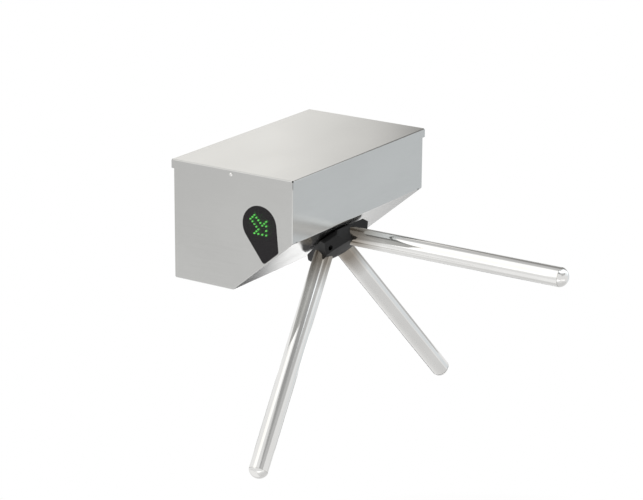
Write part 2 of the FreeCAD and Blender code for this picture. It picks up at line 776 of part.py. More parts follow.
def make_shaft_pieces():
    """The pieces that slide onto the shaft: bearing inner rings, spacer, wheels, key and nut."""
    bore = shaft_r + seat_gap
    inner_r = shaft_r + bearing_ring
    keyway = key_block(key_w + seat_gap, seat_gap, 0)
    floor_r, past_r = lock_radius - notch_depth, lock_radius + notch_depth
    narrow, wide = notch_floor / 2, notch_mouth - notch_floor / 2
    notch = [(floor_r, -narrow), (past_r, -wide), (past_r, wide), (floor_r, narrow)]
    tooth_gap = prism_z(notch, z_lock_end, z_lock)
    lock = fused([disc(inner_r, z_lock, z_bearing_2_end), disc(lock_radius, z_lock_end, z_lock)])
    lock = lock.cut([turned_to(tooth_gap, 360 * i / lock_notches) for i in range(lock_notches)])
    lock = lock.cut([disc(bore, z_lock_end, z_bearing_2_end), keyway])
    wheel = prism_z(gear_outline(gear_teeth, gear_module), z_gear_end, z_gear)
    gear = fused([wheel, disc(inner_r, z_gear, z_lock_end)]).cut([disc(bore, z_gear_end, z_lock_end), keyway])
    slot_r, slot_half = encoder_radius - encoder_slot_l, encoder_slot_w / 2
    slot = box(slot_r, encoder_radius - encoder_t, -slot_half, slot_half, z_encoder_end, z_encoder)
    encoder = fused([disc(encoder_radius, z_encoder_end, z_encoder), disc(inner_r, z_encoder, z_gear_end)])
    slots = [turned_to(slot, 360 * (i + 0.5) / encoder_slots) for i in range(encoder_slots)]
    encoder = encoder.cut(slots + [disc(bore, z_encoder_end, z_gear_end)])
    nut = hexagon(nut_flats, z_nut_end, z_encoder_end).cut(disc(bore, z_nut_end, z_encoder_end))
    return {
        "front_bearing_inner_ring": ring(inner_r, bore, z_bearing_1_end, z_bearing_1),
        "rear_bearing_inner_ring": ring(inner_r, bore, z_bearing_2_end, z_bearing_2),
        "bearing_spacer": ring(inner_r - bearing_shield, bore, z_bearing_2, z_bearing_1_end),
        "lock_disc": lock,
        "drive_gear": gear,
        "shaft_key": key_block(key_w - seat_gap, -seat_gap, seat_gap),
        "encoder_disc": encoder,
        "shaft_nut": nut,
    }


def gear_outline(teeth, module):
    """A spur gear's outline: involute flanks from root to tip circle, thinned by half the backlash."""
    pitch_r = module * teeth / 2
    base_r = pitch_r * math.cos(math.radians(pressure_angle))
    root_r, tip_r = pitch_r - gear_dedendum * module, pitch_r + module
    steps = 4

    def involute(radius):
        lean = math.acos(min(1.0, base_r / radius))
        return math.tan(lean) - lean

    half = math.pi / (2 * teeth) - backlash / (4 * pitch_r) + involute(pitch_r)
    start = max(base_r, root_r)
    radii = [start + (tip_r - start) * i / (steps - 1) for i in range(steps)]
    flank = [(root_r, half - involute(start))] if root_r < base_r else []
    flank += [(r, half - involute(r)) for r in radii]
    points = []
    for i in range(teeth):
        middle = 2 * math.pi * i / teeth
        points += [(r, middle - a) for r, a in flank] + [(r, middle + a) for r, a in reversed(flank)]
    return [(r * math.cos(a), r * math.sin(a)) for r, a in points]


def mesh_place(angle):
    """A pinion's centre beside the drive gear, and its turn so that its teeth fall into the gear's gaps."""
    turn = math.radians(angle)
    phase = turn + math.pi - math.pi / pinion_teeth + gear_teeth * turn / pinion_teeth
    return Vec(mesh_distance * math.cos(turn), mesh_distance * math.sin(turn), 0), math.degrees(phase)


def make_pinion(angle, bore):
    """A pinion in mesh with the drive gear, with a round bore."""
    centre, phase = mesh_place(angle)
    pinion = prism_z(gear_outline(pinion_teeth, gear_module), z_gear_end, z_gear)
    pinion = pinion.cut(disc(bore, z_gear_end, z_gear))
    pinion.rotate(Vec(0, 0, 0), Z_AXIS, phase)
    pinion.translate(centre)
    return pinion


def make_bearing_housing():
    """The flanged housing with a seat for a bearing at each end, and its bolts."""
    outer = bearing_r + housing_wall
    flange_top = z_frame + housing_flange_t
    body = fused([disc(outer, z_bearing_2_end, z_bearing_1 + housing_lip),
                  disc(housing_flange_d / 2, z_frame, flange_top)])
    ring_r = (outer + housing_flange_d / 2) / 2
    bolt_at = [math.radians(housing_bolt_turn + 360 * i / housing_bolts) for i in range(housing_bolts)]
    places = [(ring_r * math.cos(t), ring_r * math.sin(t)) for t in bolt_at]
    cuts = [disc(bearing_r, z_bearing_1_end, z_bearing_1 + housing_lip),
            disc(bearing_r, z_bearing_2_end, z_bearing_2),
            disc(bearing_r - bearing_ring, z_bearing_2_end, z_bearing_1)]
    cuts += [disc(housing_bolt_d / 2 + clear_gap, z_frame, flange_top, x, y) for x, y in places]
    bolts = []
    for x, y in places:
        bolt = hex_bolt(housing_bolt_d, flange_top - z_frame_end)
        bolt.translate(Vec(x, y, flange_top))
        bolts.append(bolt)
    return body.cut(cuts), group(bolts), places


def make_bearing_outer(z_top):
    """A bearing's outer ring with its two shields, reaching down from z_top."""
    low = z_top - bearing_w
    outer, track = bearing_r - seat_gap, bearing_r - bearing_ring
    shield = shaft_r + bearing_ring + clear_gap
    points = [(shield, low), (outer, low), (outer, z_top), (shield, z_top), (shield, z_top - bearing_shield),
              (track, z_top - bearing_shield), (track, low + bearing_shield), (shield, low + bearing_shield)]
    return turned_outline(points)


def frame_holes(bolt_places):
    """The slanted plate's holes for the bearing housing and its bolts."""
    holes = [disc(bearing_r + housing_wall + clear_gap, z_frame_end, z_frame)]
    return holes + [disc(housing_bolt_d / 2 + seat_gap, z_frame_end, z_frame, x, y) for x, y in bolt_places]


def make_mechanism_frame(bolt_places):
    """The welded frame: a plate square to the rotor axis, two cheeks and two bolted feet on the back wall."""
    plate = box(-frame_up, frame_down, -frame_half - cheek_t, frame_half + cheek_t, z_frame_end, z_frame)
    plate = laid(plate.cut(frame_holes(bolt_places)))
    ends = ((-frame_up, z_frame), (frame_down, z_frame), (frame_down, z_frame_end))
    corners = [ROTOR.multVec(Vec(x, 0, z)) for x, z in ends]
    wall = x_back + sheet
    outline = [(wall, -cheek_half_height), (corners[2].x, corners[2].z), (corners[1].x, corners[1].z),
               (corners[0].x, corners[0].z), (corners[1].x, cheek_half_height), (wall, cheek_half_height)]
    window_at = Vec((wall + corners[1].x) / 2, -2 * frame_half, 0)
    window = rod(cheek_window_d / 2, window_at, window_at + Vec(0, 4 * frame_half, 0))
    parts = [plate]
    for side in (-1, 1):
        y0, y1 = sorted((side * frame_half, side * (frame_half + cheek_t)))
        parts.append(prism_y(outline, y0, y1).cut(window))
        y0, y1 = sorted((side * frame_half, side * (frame_half + cheek_t + foot_w)))
        parts.append(box(wall, wall + cheek_t, y0, y1, -cheek_half_height, cheek_half_height))
    frame = fused(parts)
    hole_r = foot_bolt_d / 2 + clear_gap
    return frame.cut([along_x(hole_r, y, z, wall - sheet, wall + 2 * cheek_t) for y, z in foot_bolt_places()])


def make_frame_bolts():
    """The four bolts through the frame's feet and the casing's back into the wall plate."""
    seat = x_back + sheet + cheek_t
    bolts = []
    for y, z in foot_bolt_places():
        bolt = hex_bolt(foot_bolt_d, seat - sheet)
        bolt.Placement = FreeCAD.Placement(Vec(seat, y, z), FreeCAD.Rotation(Z_AXIS, Vec(1, 0, 0)))
        bolts.append(bolt)
    return group(bolts)


def make_right_pawl():
    """The right lock pawl: drawn with its nose home in a notch, then swung back to its released place."""
    tip = lock_radius - pawl_depth
    slope = (notch_mouth - notch_floor) / 2 / notch_depth
    half_tip = notch_floor / 2 + slope * (notch_depth - pawl_depth) - nose_side
    half_rim = notch_mouth / 2 - nose_side
    rim = lock_radius + 2 * clear_gap
    half_bar = pawl_bar / 2
    end_x = pawl_pivot_x + pawl_tail
    nose = prism_z([(-half_tip, tip), (half_tip, tip), (half_rim, rim), (half_rim, pawl_pivot_y + half_bar),
                    (-half_rim, pawl_pivot_y + half_bar), (-half_rim, rim)], z_pawl_end, z_pawl)
    bar = box(0, end_x, pawl_pivot_y - half_bar, pawl_pivot_y + half_bar, z_pawl_end, z_pawl)
    boss = disc(pawl_boss, z_pawl_end, z_pawl, pawl_pivot_x, pawl_pivot_y)
    end = disc(half_bar, z_pawl_end, z_pawl, end_x, pawl_pivot_y)
    slot_half = link_pin_d / 2 + clear_gap
    slot = box(end_x - slot_half - link_slot_play, end_x + slot_half, pawl_pivot_y - slot_half,
               pawl_pivot_y + slot_half, z_pawl_end, z_pawl)
    pivot = disc(pawl_pin_d / 2 + running_gap, z_pawl_end, z_pawl, pawl_pivot_x, pawl_pivot_y)
    pawl = fused([nose, bar, boss, end]).cut([pivot, slot])
    pawl.rotate(Vec(pawl_pivot_x, pawl_pivot_y, 0), Z_AXIS, -pawl_swing)
    return pawl


def link_place():
    """The link pin's place with the pawl released, in the rotor frame."""
    swing = math.radians(pawl_swing)
    return Vec(pawl_pivot_x + pawl_tail * math.cos(swing), pawl_pivot_y - pawl_tail * math.sin(swing), z_link)


def make_right_plunger():
    """The right solenoid's plunger: a rod with a fork that straddles the pawl's tail on a cross pin."""
    pin = link_place()
    half_gap = (z_pawl - z_pawl_end) / 2 + clear_gap
    tall = half_gap + fork_cheek
    wide = plunger_d / 2
    root = pin.y + pawl_bar / 2 + 2 * wide * math.sin(math.radians(pawl_swing)) + clear_gap
    x0, x1 = pin.x - wide, pin.x + wide
    fork = box(x0, x1, pin.y - wide, root + fork_cheek, z_link - tall, z_link + tall)
    fork = fork.cut(box(x0, x1, pin.y - wide, root, z_link - half_gap, z_link + half_gap))
    stem = rod(wide, Vec(pin.x, root, z_link), Vec(pin.x, y_solenoid + plunger_engaged, z_link))
    cross = disc(link_pin_d / 2, z_link - tall, z_link + tall, pin.x, pin.y)
    return fused([fork, stem, cross])


def make_right_solenoid():
    """The right solenoid beside the cheek: a folded frame on the slanted plate, and its coil with a core."""
    x = link_place().x
    y0, y1 = y_solenoid, y_solenoid + solenoid_length
    half = solenoid_w / 2
    top = z_link - half
    outer = box(x - half, x + half, y0, y1, top, z_frame_end)
    floor = z_frame_end - solenoid_sheet
    hollow = box(x - half, x + half, y0 + solenoid_sheet, y1 - solenoid_sheet, top, floor)
    hole = rod(plunger_d / 2 + clear_gap, Vec(x, y0, z_link), Vec(x, y0 + solenoid_sheet, z_link))
    start, end = Vec(x, y0 + solenoid_sheet, z_link), Vec(x, y1 - solenoid_sheet, z_link)
    coil = rod(coil_d / 2, start, end)
    coil = coil.cut(rod(plunger_d / 2 + clear_gap, start, end - Vec(0, coil_core, 0)))
    return outer.cut([hollow, hole]), coil


def make_pawl_pin():
    """The right pawl's shoulder pin, standing on the slanted plate."""
    x, y = pawl_pivot_x, pawl_pivot_y
    pin_r = pawl_pin_d / 2
    return fused([disc(pin_r + clip_w, z_pawl + clear_gap, z_frame_end, x, y),
                  disc(pin_r, z_pawl_end - 2 * clip_t, z_frame_end, x, y)])


def make_crank():
    """The centring crank: a pinion with a crank pin on its face, at rest with the pin towards the spring."""
    centre = mesh_place(crank_angle)[0]
    wheel = make_pinion(crank_angle, crank_axle_d / 2 + running_gap)
    pin = disc(crank_pin_d / 2, z_gear_end - crank_pin_l, z_gear_end, centre.x, centre.y - crank_throw)
    return fused([wheel, pin])


def make_crank_axle():
    """The crank's axle, standing on the slanted plate with a shoulder under the wheel."""
    centre = mesh_place(crank_angle)[0]
    axle_r = crank_axle_d / 2
    return fused([disc(axle_r + axle_shoulder, z_gear + clear_gap, z_frame_end, centre.x, centre.y),
                  disc(axle_r, z_gear_end - 2 * clip_t, z_frame_end, centre.x, centre.y)])


def make_clips():
    """The retaining clips on the crank axle and the two pawl pins."""
    centre = mesh_place(crank_angle)[0]
    axle_r, pin_r = crank_axle_d / 2, pawl_pin_d / 2
    z_axle, z_pin = z_gear_end - clear_gap, z_pawl_end - clear_gap
    clips = [ring(axle_r + clip_w, axle_r + seat_gap, z_axle - clip_t, z_axle, centre.x, centre.y)]
    for side in (-1, 1):
        y = side * pawl_pivot_y
        clips.append(ring(pin_r + clip_w, pin_r + seat_gap, z_pin - clip_t, z_pin, pawl_pivot_x, y))
    return group(clips)


def spring_ends():
    """The centring spring's two eyes: on the crank pin and on the anchor post."""
    centre = mesh_place(crank_angle)[0]
    level = z_gear_end - crank_pin_l / 2
    on_crank = Vec(centre.x, centre.y - crank_throw, level)
    return on_crank, Vec(centre.x, anchor_cheek_gap - frame_half, level)


def make_spring_anchor():
    """The post that holds the fixed end of the centring spring."""
    post = spring_ends()[1]
    return disc(anchor_post_d / 2, post.z - crank_pin_l / 2, z_frame_end, post.x, post.y)


def make_centring_spring():
    """The centring spring as a close-wound coil's sleeve, with a flat eye at either end."""
    on_crank, on_post = spring_ends()
    half = spring_wire / 2
    coil_r = spring_d / 2
    shapes, cuts, tips = [], [], []
    for place, pin_d, way in ((on_crank, crank_pin_d, -1), (on_post, anchor_post_d, 1)):
        hole_r = pin_d / 2 + clear_gap
        low, high = place.z - half, place.z + half
        shapes.append(disc(hole_r + spring_wire, low, high, place.x, place.y))
        cuts.append(disc(hole_r, low, high, place.x, place.y))
        tips.append(place + Vec(0, way * (hole_r + spring_wire / 2), 0))
    shapes.append(rod(coil_r, tips[1], tips[0]))
    hollow = rod(coil_r - spring_wire, tips[1] + Vec(0, spring_wire, 0), tips[0] - Vec(0, spring_wire, 0))
    return fused(shapes).cut(cuts + [hollow])


def make_damper():
    """The rotary damper's body on the slanted plate, and its pinion with the shaft."""
    centre = mesh_place(damper_angle)[0]
    top = z_frame_end - damper_height
    shaft = damper_shaft_d / 2
    body = disc(damper_d / 2, top, z_frame_end, centre.x, centre.y)
    body = body.makeChamfer(damper_chamfer, [e for e in body.Edges if e.BoundBox.ZMax < top + damper_chamfer])
    body = body.cut(disc(shaft + running_gap, top, z_frame_end - damper_floor, centre.x, centre.y))
    stem = disc(shaft, z_gear_end - clip_t, z_frame_end - 2 * damper_floor, centre.x, centre.y)
    return body, fused([make_pinion(damper_angle, shaft / 2), stem])


def make_sensor():
    """The position sensor that straddles the encoder disc, and the bracket that carries it."""
    low, high = z_encoder_end - sensor_gap, z_encoder + sensor_gap
    half = sensor_w / 2
    inner = encoder_radius - sensor_reach
    outer = encoder_radius + sensor_reach
    body = box(inner, outer, -half, half, low - sensor_jaw, high + sensor_jaw)
    body = body.cut(box(inner, encoder_radius + 2 * sensor_gap, -half, half, low, high))
    stand = gear_r + gear_module + 2 * sensor_jaw
    base = low - sensor_jaw
    bracket = fused([box(inner, stand + bracket_t, -half, half, base - bracket_t, base),
                     box(stand, stand + bracket_t, -half, half, base - bracket_t, z_frame_end),
                     box(stand, stand + sensor_w, -half, half, z_frame_end - bracket_t, z_frame_end)])
    return body, bracket


def make_control_board():
    """The control board on its standoffs, with terminal blocks and relays, on the casing's floor."""
    floor = z_bottom + sheet
    y0 = -y_end + sheet + control_end_gap
    x1 = section(sheet, z_rim)[1][0] - control_front_gap
    y1 = -frame_half - cheek_t - control_cheek_gap
    pitch = (y1 - y0) / terminal_count
    half = (pitch - terminal_gap) / 2
    low = floor + standoff_h
    top = low + board_t
    inset = standoff_inset
    corners = [(x, y) for x in (control_x + inset, x1 - inset) for y in (y0 + inset, y1 - inset)]
    standoffs = group([disc(standoff_d / 2, floor, low, x, y) for x, y in corners])
    board = box(control_x, x1, y0, y1, low, top)
    terminals = []
    for i in range(terminal_count):
        x, y = x1 - 2 * inset, y0 + pitch * (i + 0.5)
        block = box(x - terminal_w, x, y - half, y + half, top, top + terminal_h)
        upper = [e for e in block.Edges if e.BoundBox.ZMin > top + terminal_h / 2]
        front = [e for e in upper if e.BoundBox.XMin > x - terminal_w / 2]
        terminals.append(block.makeChamfer(terminal_w / 3, front))
    relays = []
    for i in (0, 1):
        x, y = control_x + 2 * inset, y0 + (y1 - y0) * (i + 1) / 3
        relays.append(box(x, x + relay_l, y - relay_w / 2, y + relay_w / 2, top, top + relay_h))
    return {"control_board": board, "board_standoffs": standoffs, "terminal_blocks": group(terminals),
            "relays": group(relays)}


def make_power_supply():
    """The vented power supply on the casing's floor at the right end."""
    floor = z_bottom + sheet
    y1 = y_end - sheet - control_end_gap
    y0 = y1 - supply_l
    x0, x1 = control_x, control_x + supply_w
    case = box(x0, x1, y0, y1, floor, floor + supply_h)
    slots = []
    for i in range(supply_slots):
        y = y0 + supply_l * (i + 0.5) / supply_slots
        slots.append(box(x0 + supply_w / 4, x1 - supply_w / 4, y - supply_slot_w / 2, y + supply_slot_w / 2,
                         floor + supply_h - sheet, floor + supply_h))
    return case.cut(slots)


def root_nodes():
    """The pieces that stay still on the wall."""
    screws, nuts = make_lid_fixings()
    housing, housing_bolt_group, bolt_places = make_bearing_housing()
    sensor, bracket = make_sensor()
    solenoid, coil = make_right_solenoid()
    lens, board, lamps, board_screws = make_left_indicator()
    nodes = {
        "wall_plate": make_wall_plate(),
        "casing": make_casing(),
        "lid": make_lid(),
        "lid_gasket": make_lid_gasket(),
        "lid_screws": screws,
        "lid_rivet_nuts": nuts,
        "cable_grommet": make_cable_grommet(),
        "rotor_seal": laid(make_rotor_seal()),
        "mechanism_frame": make_mechanism_frame(bolt_places),
        "frame_bolts": make_frame_bolts(),
        "bearing_housing": laid(housing),
        "housing_bolts": laid(housing_bolt_group),
        "front_bearing_outer_ring": laid(make_bearing_outer(z_bearing_1)),
        "rear_bearing_outer_ring": laid(make_bearing_outer(z_bearing_2)),
        "pawl_pins": laid(pair(make_pawl_pin())),
        "solenoid_frames": laid(pair(solenoid)),
        "solenoid_coils": laid(pair(coil)),
        "crank_axle": laid(make_crank_axle()),
        "retaining_clips": laid(make_clips()),
        "spring_anchor": laid(make_spring_anchor()),
        "centring_spring": laid(make_centring_spring()),
        "damper_body": laid(make_damper()[0]),
        "position_sensor": laid(sensor),
        "sensor_bracket": laid(bracket),
        "power_supply": make_power_supply(),
        "left_lens": lens,
        "right_lens": mirrored_y(lens),
        "light_boards": pair(board),
        "left_lamps": lamps,
        "right_lamps": mirrored_y(lamps),
        "board_screws": pair(board_screws),
    }
    nodes.update(make_control_board())
    return nodes


def rotor_nodes():
    """The pieces that turn with the arms."""
    bolt, cap, set_screws = make_hub_fixings()
    nodes = {
        "rotor_shaft": laid(make_shaft()),
        "hub": laid(make_hub()),
        "hub_bolt": laid(bolt),
        "hub_cap": laid(cap),
        "arm_set_screws": laid(set_screws),
    }
    nodes.update({name: laid(shape) for name, shape in make_shaft_pieces().items()})
    tube, arm_cap = make_arm()
    for i, (arm, end) in enumerate(zip(around(tube), around(arm_cap)), start=1):
        nodes[f"arm_{i}"] = laid(arm)
        nodes[f"arm_cap_{i}"] = laid(end)
    return nodes


def linked_nodes():
    """The pieces that the rotor drives or that hold it: crank, damper pinion, pawls and plungers."""
    pawl = make_right_pawl()
    plunger = make_right_plunger()
    return {
        "centring_crank": laid(make_crank()),
        "damper_pinion": laid(make_damper()[1]),
        "right_pawl": laid(pawl),
        "left_pawl": laid(mirrored_y(pawl)),
        "right_plunger": laid(plunger),
        "left_plunger": laid(mirrored_y(plunger)),
    }


def main():
    """Build every piece and write one STEP file per node."""
    os.makedirs("parts", exist_ok=True)
    nodes = {**root_nodes(), **rotor_nodes(), **linked_nodes()}
    for name, shape in nodes.items():
        shape.exportStep(f"parts/{name}.step")
    print(len(nodes), "nodes, apex at", [round(v, 3) for v in apex])


main()
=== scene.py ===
"""Finishes, a wound spring and a studio for a wall-hung tripod turnstile.

Everything is in metres in the part's own frame: X out from the wall, Y along the wall, Z up.
"""

import json
import logging
import math
from dataclasses import dataclass, field
from enum import Enum
from typing import Any, ClassVar, Sequence

import bpy
import numpy as np
from mathutils import Matrix, Vector

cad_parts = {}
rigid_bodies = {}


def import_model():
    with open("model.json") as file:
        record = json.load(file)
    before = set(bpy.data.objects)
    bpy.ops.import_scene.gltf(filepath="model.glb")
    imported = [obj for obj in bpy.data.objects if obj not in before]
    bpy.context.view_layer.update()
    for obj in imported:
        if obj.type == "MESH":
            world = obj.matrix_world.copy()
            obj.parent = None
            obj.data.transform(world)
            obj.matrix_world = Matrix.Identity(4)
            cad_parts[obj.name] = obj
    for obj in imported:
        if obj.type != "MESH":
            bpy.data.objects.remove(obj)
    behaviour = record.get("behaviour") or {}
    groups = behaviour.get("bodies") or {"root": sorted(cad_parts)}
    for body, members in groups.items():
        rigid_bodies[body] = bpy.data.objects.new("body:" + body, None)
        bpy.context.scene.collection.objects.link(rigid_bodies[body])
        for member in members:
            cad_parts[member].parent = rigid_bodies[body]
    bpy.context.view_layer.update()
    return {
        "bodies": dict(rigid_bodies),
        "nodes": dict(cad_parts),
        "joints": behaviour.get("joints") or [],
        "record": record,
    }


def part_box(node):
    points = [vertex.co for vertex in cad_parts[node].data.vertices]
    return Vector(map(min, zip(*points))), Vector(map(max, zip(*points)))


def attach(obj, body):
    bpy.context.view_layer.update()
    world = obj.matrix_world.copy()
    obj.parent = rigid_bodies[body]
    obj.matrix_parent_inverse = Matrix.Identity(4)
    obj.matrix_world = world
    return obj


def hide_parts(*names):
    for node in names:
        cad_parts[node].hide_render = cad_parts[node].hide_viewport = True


LOG = logging.getLogger("turnstile")
MM = 0.001

Colour = tuple[float, float, float]
Point = tuple[float, float, float]
Array = np.ndarray
Levels = Sequence[tuple[float, float]]


class Grain(Enum):
    """How the fine scratches of a brushed sheet run."""

    FOLDED_SHEET = "along the wall on folded faces, across on the two ends"
    ONE_WAY = "along the wall on every face, as the rolls left them"


# Surfaces


def grid_faces(rows: int, cols: int, wrap: bool = False) -> Array:
    """Quads of a rows by cols grid of points, numbered row by row.

    Args:
        rows: points along the first parameter.
        cols: points along the second parameter.
        wrap: whether the last column joins the first.

    Returns:
        An (n, 4) array of point numbers.
    """
    row, col = np.meshgrid(np.arange(rows - 1), np.arange(cols if wrap else cols - 1), indexing="ij")
    here, above = row * cols, (row + 1) * cols
    after = (col + 1) % cols
    return np.stack([here + col, here + after, above + after, above + col], axis=-1).reshape(-1, 4)


def tube_along(path: Array, reference: Array, radius: float, sides: int) -> tuple[Array, list[Array]]:
    """A round wire along a path: a circle in the plane across each step of the path.

    At each step the first cross direction is the reference less its part along the path, and the second is
    at right angles to both. The path's first and last points stay single points, which close the ends.

    Args:
        path: (n, 3) points close enough together to look smooth.
        reference: (n, 3) directions, none of them along the path.
        radius: the wire's radius.
        sides: steps round the wire.

    Returns:
        Points, and faces that look outwards: the quads between circles and the triangles at both ends.
    """
    step = np.gradient(path, axis=0)
    step /= np.linalg.norm(step, axis=1)[:, None]
    side = reference - step * np.sum(reference * step, axis=1)[:, None]
    side /= np.linalg.norm(side, axis=1)[:, None]
    other = np.cross(step, side)
    turn = np.linspace(0.0, 2 * math.pi, sides, endpoint=False)
    ring = np.cos(turn)[None, :, None] * side[:, None] + np.sin(turn)[None, :, None] * other[:, None]
    circles = (path[:, None] + radius * ring)[1:-1]
    points = np.concatenate([circles.reshape(-1, 3), path[[0, -1]]])
    here = np.arange(sides)
    after = (here + 1) % sides
    last = (len(circles) - 1) * sides
    start_point = np.full(sides, len(points) - 2)
    end_point = np.full(sides, len(points) - 1)
    start_fan = np.stack([start_point, after, here], axis=-1)
    end_fan = np.stack([last + here, last + after, end_point], axis=-1)
    return points, [grid_faces(len(circles), sides, wrap=True), start_fan, end_fan]


def mesh_piece(name: str, points: Array, faces: Sequence[Array],
               material: bpy.types.Material) -> bpy.types.Object:
    """A smooth-shaded object at the origin from points and faces.

    Args:
        name: the piece's name.
        points: (n, 3) places in the part's frame.
        faces: arrays of point numbers, four in a row for quads or three for triangles.
        material: the finish.

    Returns:
        The new object, linked to the scene.
    """
    mesh = bpy.data.meshes.new(name)
    mesh.from_pydata(points.tolist(), [], sum((group.tolist() for group in faces), []))
    mesh.polygons.foreach_set("use_smooth", np.ones(len(mesh.polygons), dtype=bool))
    mesh.materials.append(material)
    mesh.update()
    piece = bpy.data.objects.new(name, mesh)
    bpy.context.scene.collection.objects.link(piece)
    return piece


# Finishes


@dataclass(frozen=True)
class Cloud:
    """A noise pattern: octaves, how strongly the fine ones show, and the values that count as 0 and 1."""

    detail: float
    fineness: float
    low: float = 0.3
    high: float = 0.7


class NodeBench:
    """One material's nodes, with short calls for the textures that the finishes share."""

    def __init__(self, name: str) -> None:
        """Starts a material with its shader and output.

        Args:
            name: the material's name.
        """
        self.material = bpy.data.materials.new(name)
        self.material.use_nodes = True
        self.tree = self.material.node_tree
        self.tree.nodes.clear()
        self.output = self.tree.nodes.new("ShaderNodeOutputMaterial")
        self.shader = self.tree.nodes.new("ShaderNodeBsdfPrincipled")
        self.link(self.shader.outputs["BSDF"], self.output.inputs["Surface"])

    def link(self, start: Any, end: Any) -> None:
        """Joins an output socket to an input socket."""
        self.tree.links.new(start, end)

    def feed(self, socket: str, source: Any) -> None:
        """Joins an output socket to one of the shader's sockets."""
        self.link(source, self.shader.inputs[socket])

    def fix(self, socket: str, value: Any) -> None:
        """Gives one of the shader's sockets a constant."""
        self.shader.inputs[socket].default_value = value

    def add(self, kind: str, **values: Any) -> Any:
        """A new node with its properties set.

        Args:
            kind: the node's type.
            values: property names and values.

        Returns:
            The node.
        """
        node = self.tree.nodes.new(kind)
        for key, value in values.items():
            setattr(node, key, value)
        return node

    def stretched_noise(self, scale: Point, cloud: Cloud, offset: Point = (0.0, 0.0, 0.0)) -> Any:
        """Noise on object coordinates, stretched by a scale of its own along each axis.

        Args:
            scale: cycles per metre along X, Y and Z.
            cloud: the pattern.
            offset: moves the pattern.

        Returns:
            The noise's value socket.
        """
        place = self.add("ShaderNodeTexCoord")
        stretch = self.add("ShaderNodeMapping")
        stretch.inputs["Scale"].default_value = scale
        stretch.inputs["Location"].default_value = offset
        noise = self.add("ShaderNodeTexNoise")
        noise.inputs["Scale"].default_value = 1.0
        noise.inputs["Detail"].default_value = cloud.detail
        noise.inputs["Roughness"].default_value = cloud.fineness
        self.link(place.outputs["Object"], stretch.inputs["Vector"])
        self.link(stretch.outputs["Vector"], noise.inputs["Vector"])
        return noise.outputs["Fac"]

    def ramp(self, value: Any, low: float, high: float, to_low: float = 0.0, to_high: float = 1.0) -> Any:
        """A value moved from one range to another and held there.

        Args:
            value: the input socket's source.
            low: start of the input range.
            high: end of the input range.
            to_low: result at low.
            to_high: result at high.

        Returns:
            The result socket.
        """
        node = self.add("ShaderNodeMapRange")
        for key, number in (("From Min", low), ("From Max", high), ("To Min", to_low), ("To Max", to_high)):
            node.inputs[key].default_value = number
        self.link(value, node.inputs["Value"])
        return node.outputs["Result"]

    def patches(self, scale: Point, cloud: Cloud, to_low: float = 0.0, to_high: float = 1.0) -> Any:
        """Stretched noise, with the cloud's low and high values moved to another range."""
        return self.ramp(self.stretched_noise(scale, cloud), cloud.low, cloud.high, to_low, to_high)

    def maths(self, operation: str, *values: Any) -> Any:
        """A maths node on sockets or numbers.

        Args:
            operation: the node's operation.
            values: sockets or plain numbers, in order.

        Returns:
            The result socket.
        """
        node = self.add("ShaderNodeMath", operation=operation)
        for slot, value in zip(node.inputs, values):
            if isinstance(value, (int, float)):
                slot.default_value = value
            else:
                self.link(value, slot)
        return node.outputs["Value"]

    def distance(self, point: Point) -> Any:
        """How far the surface lies from a point.

        Args:
            point: a place in the part's frame.

        Returns:
            The distance's socket, in metres.
        """
        place = self.add("ShaderNodeTexCoord")
        away = self.add("ShaderNodeVectorMath", operation="DISTANCE")
        away.inputs[1].default_value = point
        self.link(place.outputs["Object"], away.inputs[0])
        return away.outputs["Value"]

    def off_middle(self) -> Any:
        """How far the surface lies from the part's middle plane, measured along the wall.

        Returns:
            The distance's socket, in metres.
        """
        place = self.add("ShaderNodeTexCoord")
        split = self.add("ShaderNodeSeparateXYZ")
        self.link(place.outputs["Object"], split.inputs["Vector"])
        return self.maths("ABSOLUTE", split.outputs["Y"])

    def blend_colours(self, share: Any, first: Any, second: Any) -> Any:
        """A colour between two, by a socket that runs from 0 to 1.

        Args:
            share: the socket.
            first: colour or colour socket at 0.
            second: colour or colour socket at 1.

        Returns:
            The colour socket.
        """
        node = self.add("ShaderNodeMix", data_type="RGBA")
        for key, colour in (("A", first), ("B", second)):
            if isinstance(colour, tuple):
                node.inputs[key].default_value = (*colour, 1.0)
            else:
                self.link(colour, node.inputs[key])
        self.link(share, node.inputs["Factor"])
        return node.outputs["Result"]

    def roughen(self, share: Any, at_none: float, at_full: float) -> None:
        """Sets the roughness between two values.

        Args:
            share: a socket from 0 to 1.
            at_none: roughness at 0.
            at_full: roughness at 1.
        """
        self.feed("Roughness", self.ramp(share, 0.0, 1.0, at_none, at_full))

    def bump(self, height: Any, strength: float, distance: float) -> None:
        """Raises the surface by a height socket.

        Args:
            height: the socket, 0 to 1.
            strength: how much of the slope shows.
            distance: the height of 1, in metres.
        """
        node = self.add("ShaderNodeBump")
        node.inputs["Strength"].default_value = strength
        node.inputs["Distance"].default_value = distance
        self.link(height, node.inputs["Height"])
        self.feed("Normal", node.outputs["Normal"])

    def facing(self, axis: str) -> Any:
        """How far the true surface faces along an axis, either way.

        Args:
            axis: X, Y or Z.

        Returns:
            A socket from 0 to 1.
        """
        normal = self.add("ShaderNodeNewGeometry")
        split = self.add("ShaderNodeSeparateXYZ")
        self.link(normal.outputs["True Normal"], split.inputs["Vector"])
        return self.maths("ABSOLUTE", split.outputs[axis])


def tinted(colour: Colour, factor: float) -> Colour:
    """A colour made lighter or darker by a factor."""
    return tuple(min(1.0, c * factor) for c in colour)


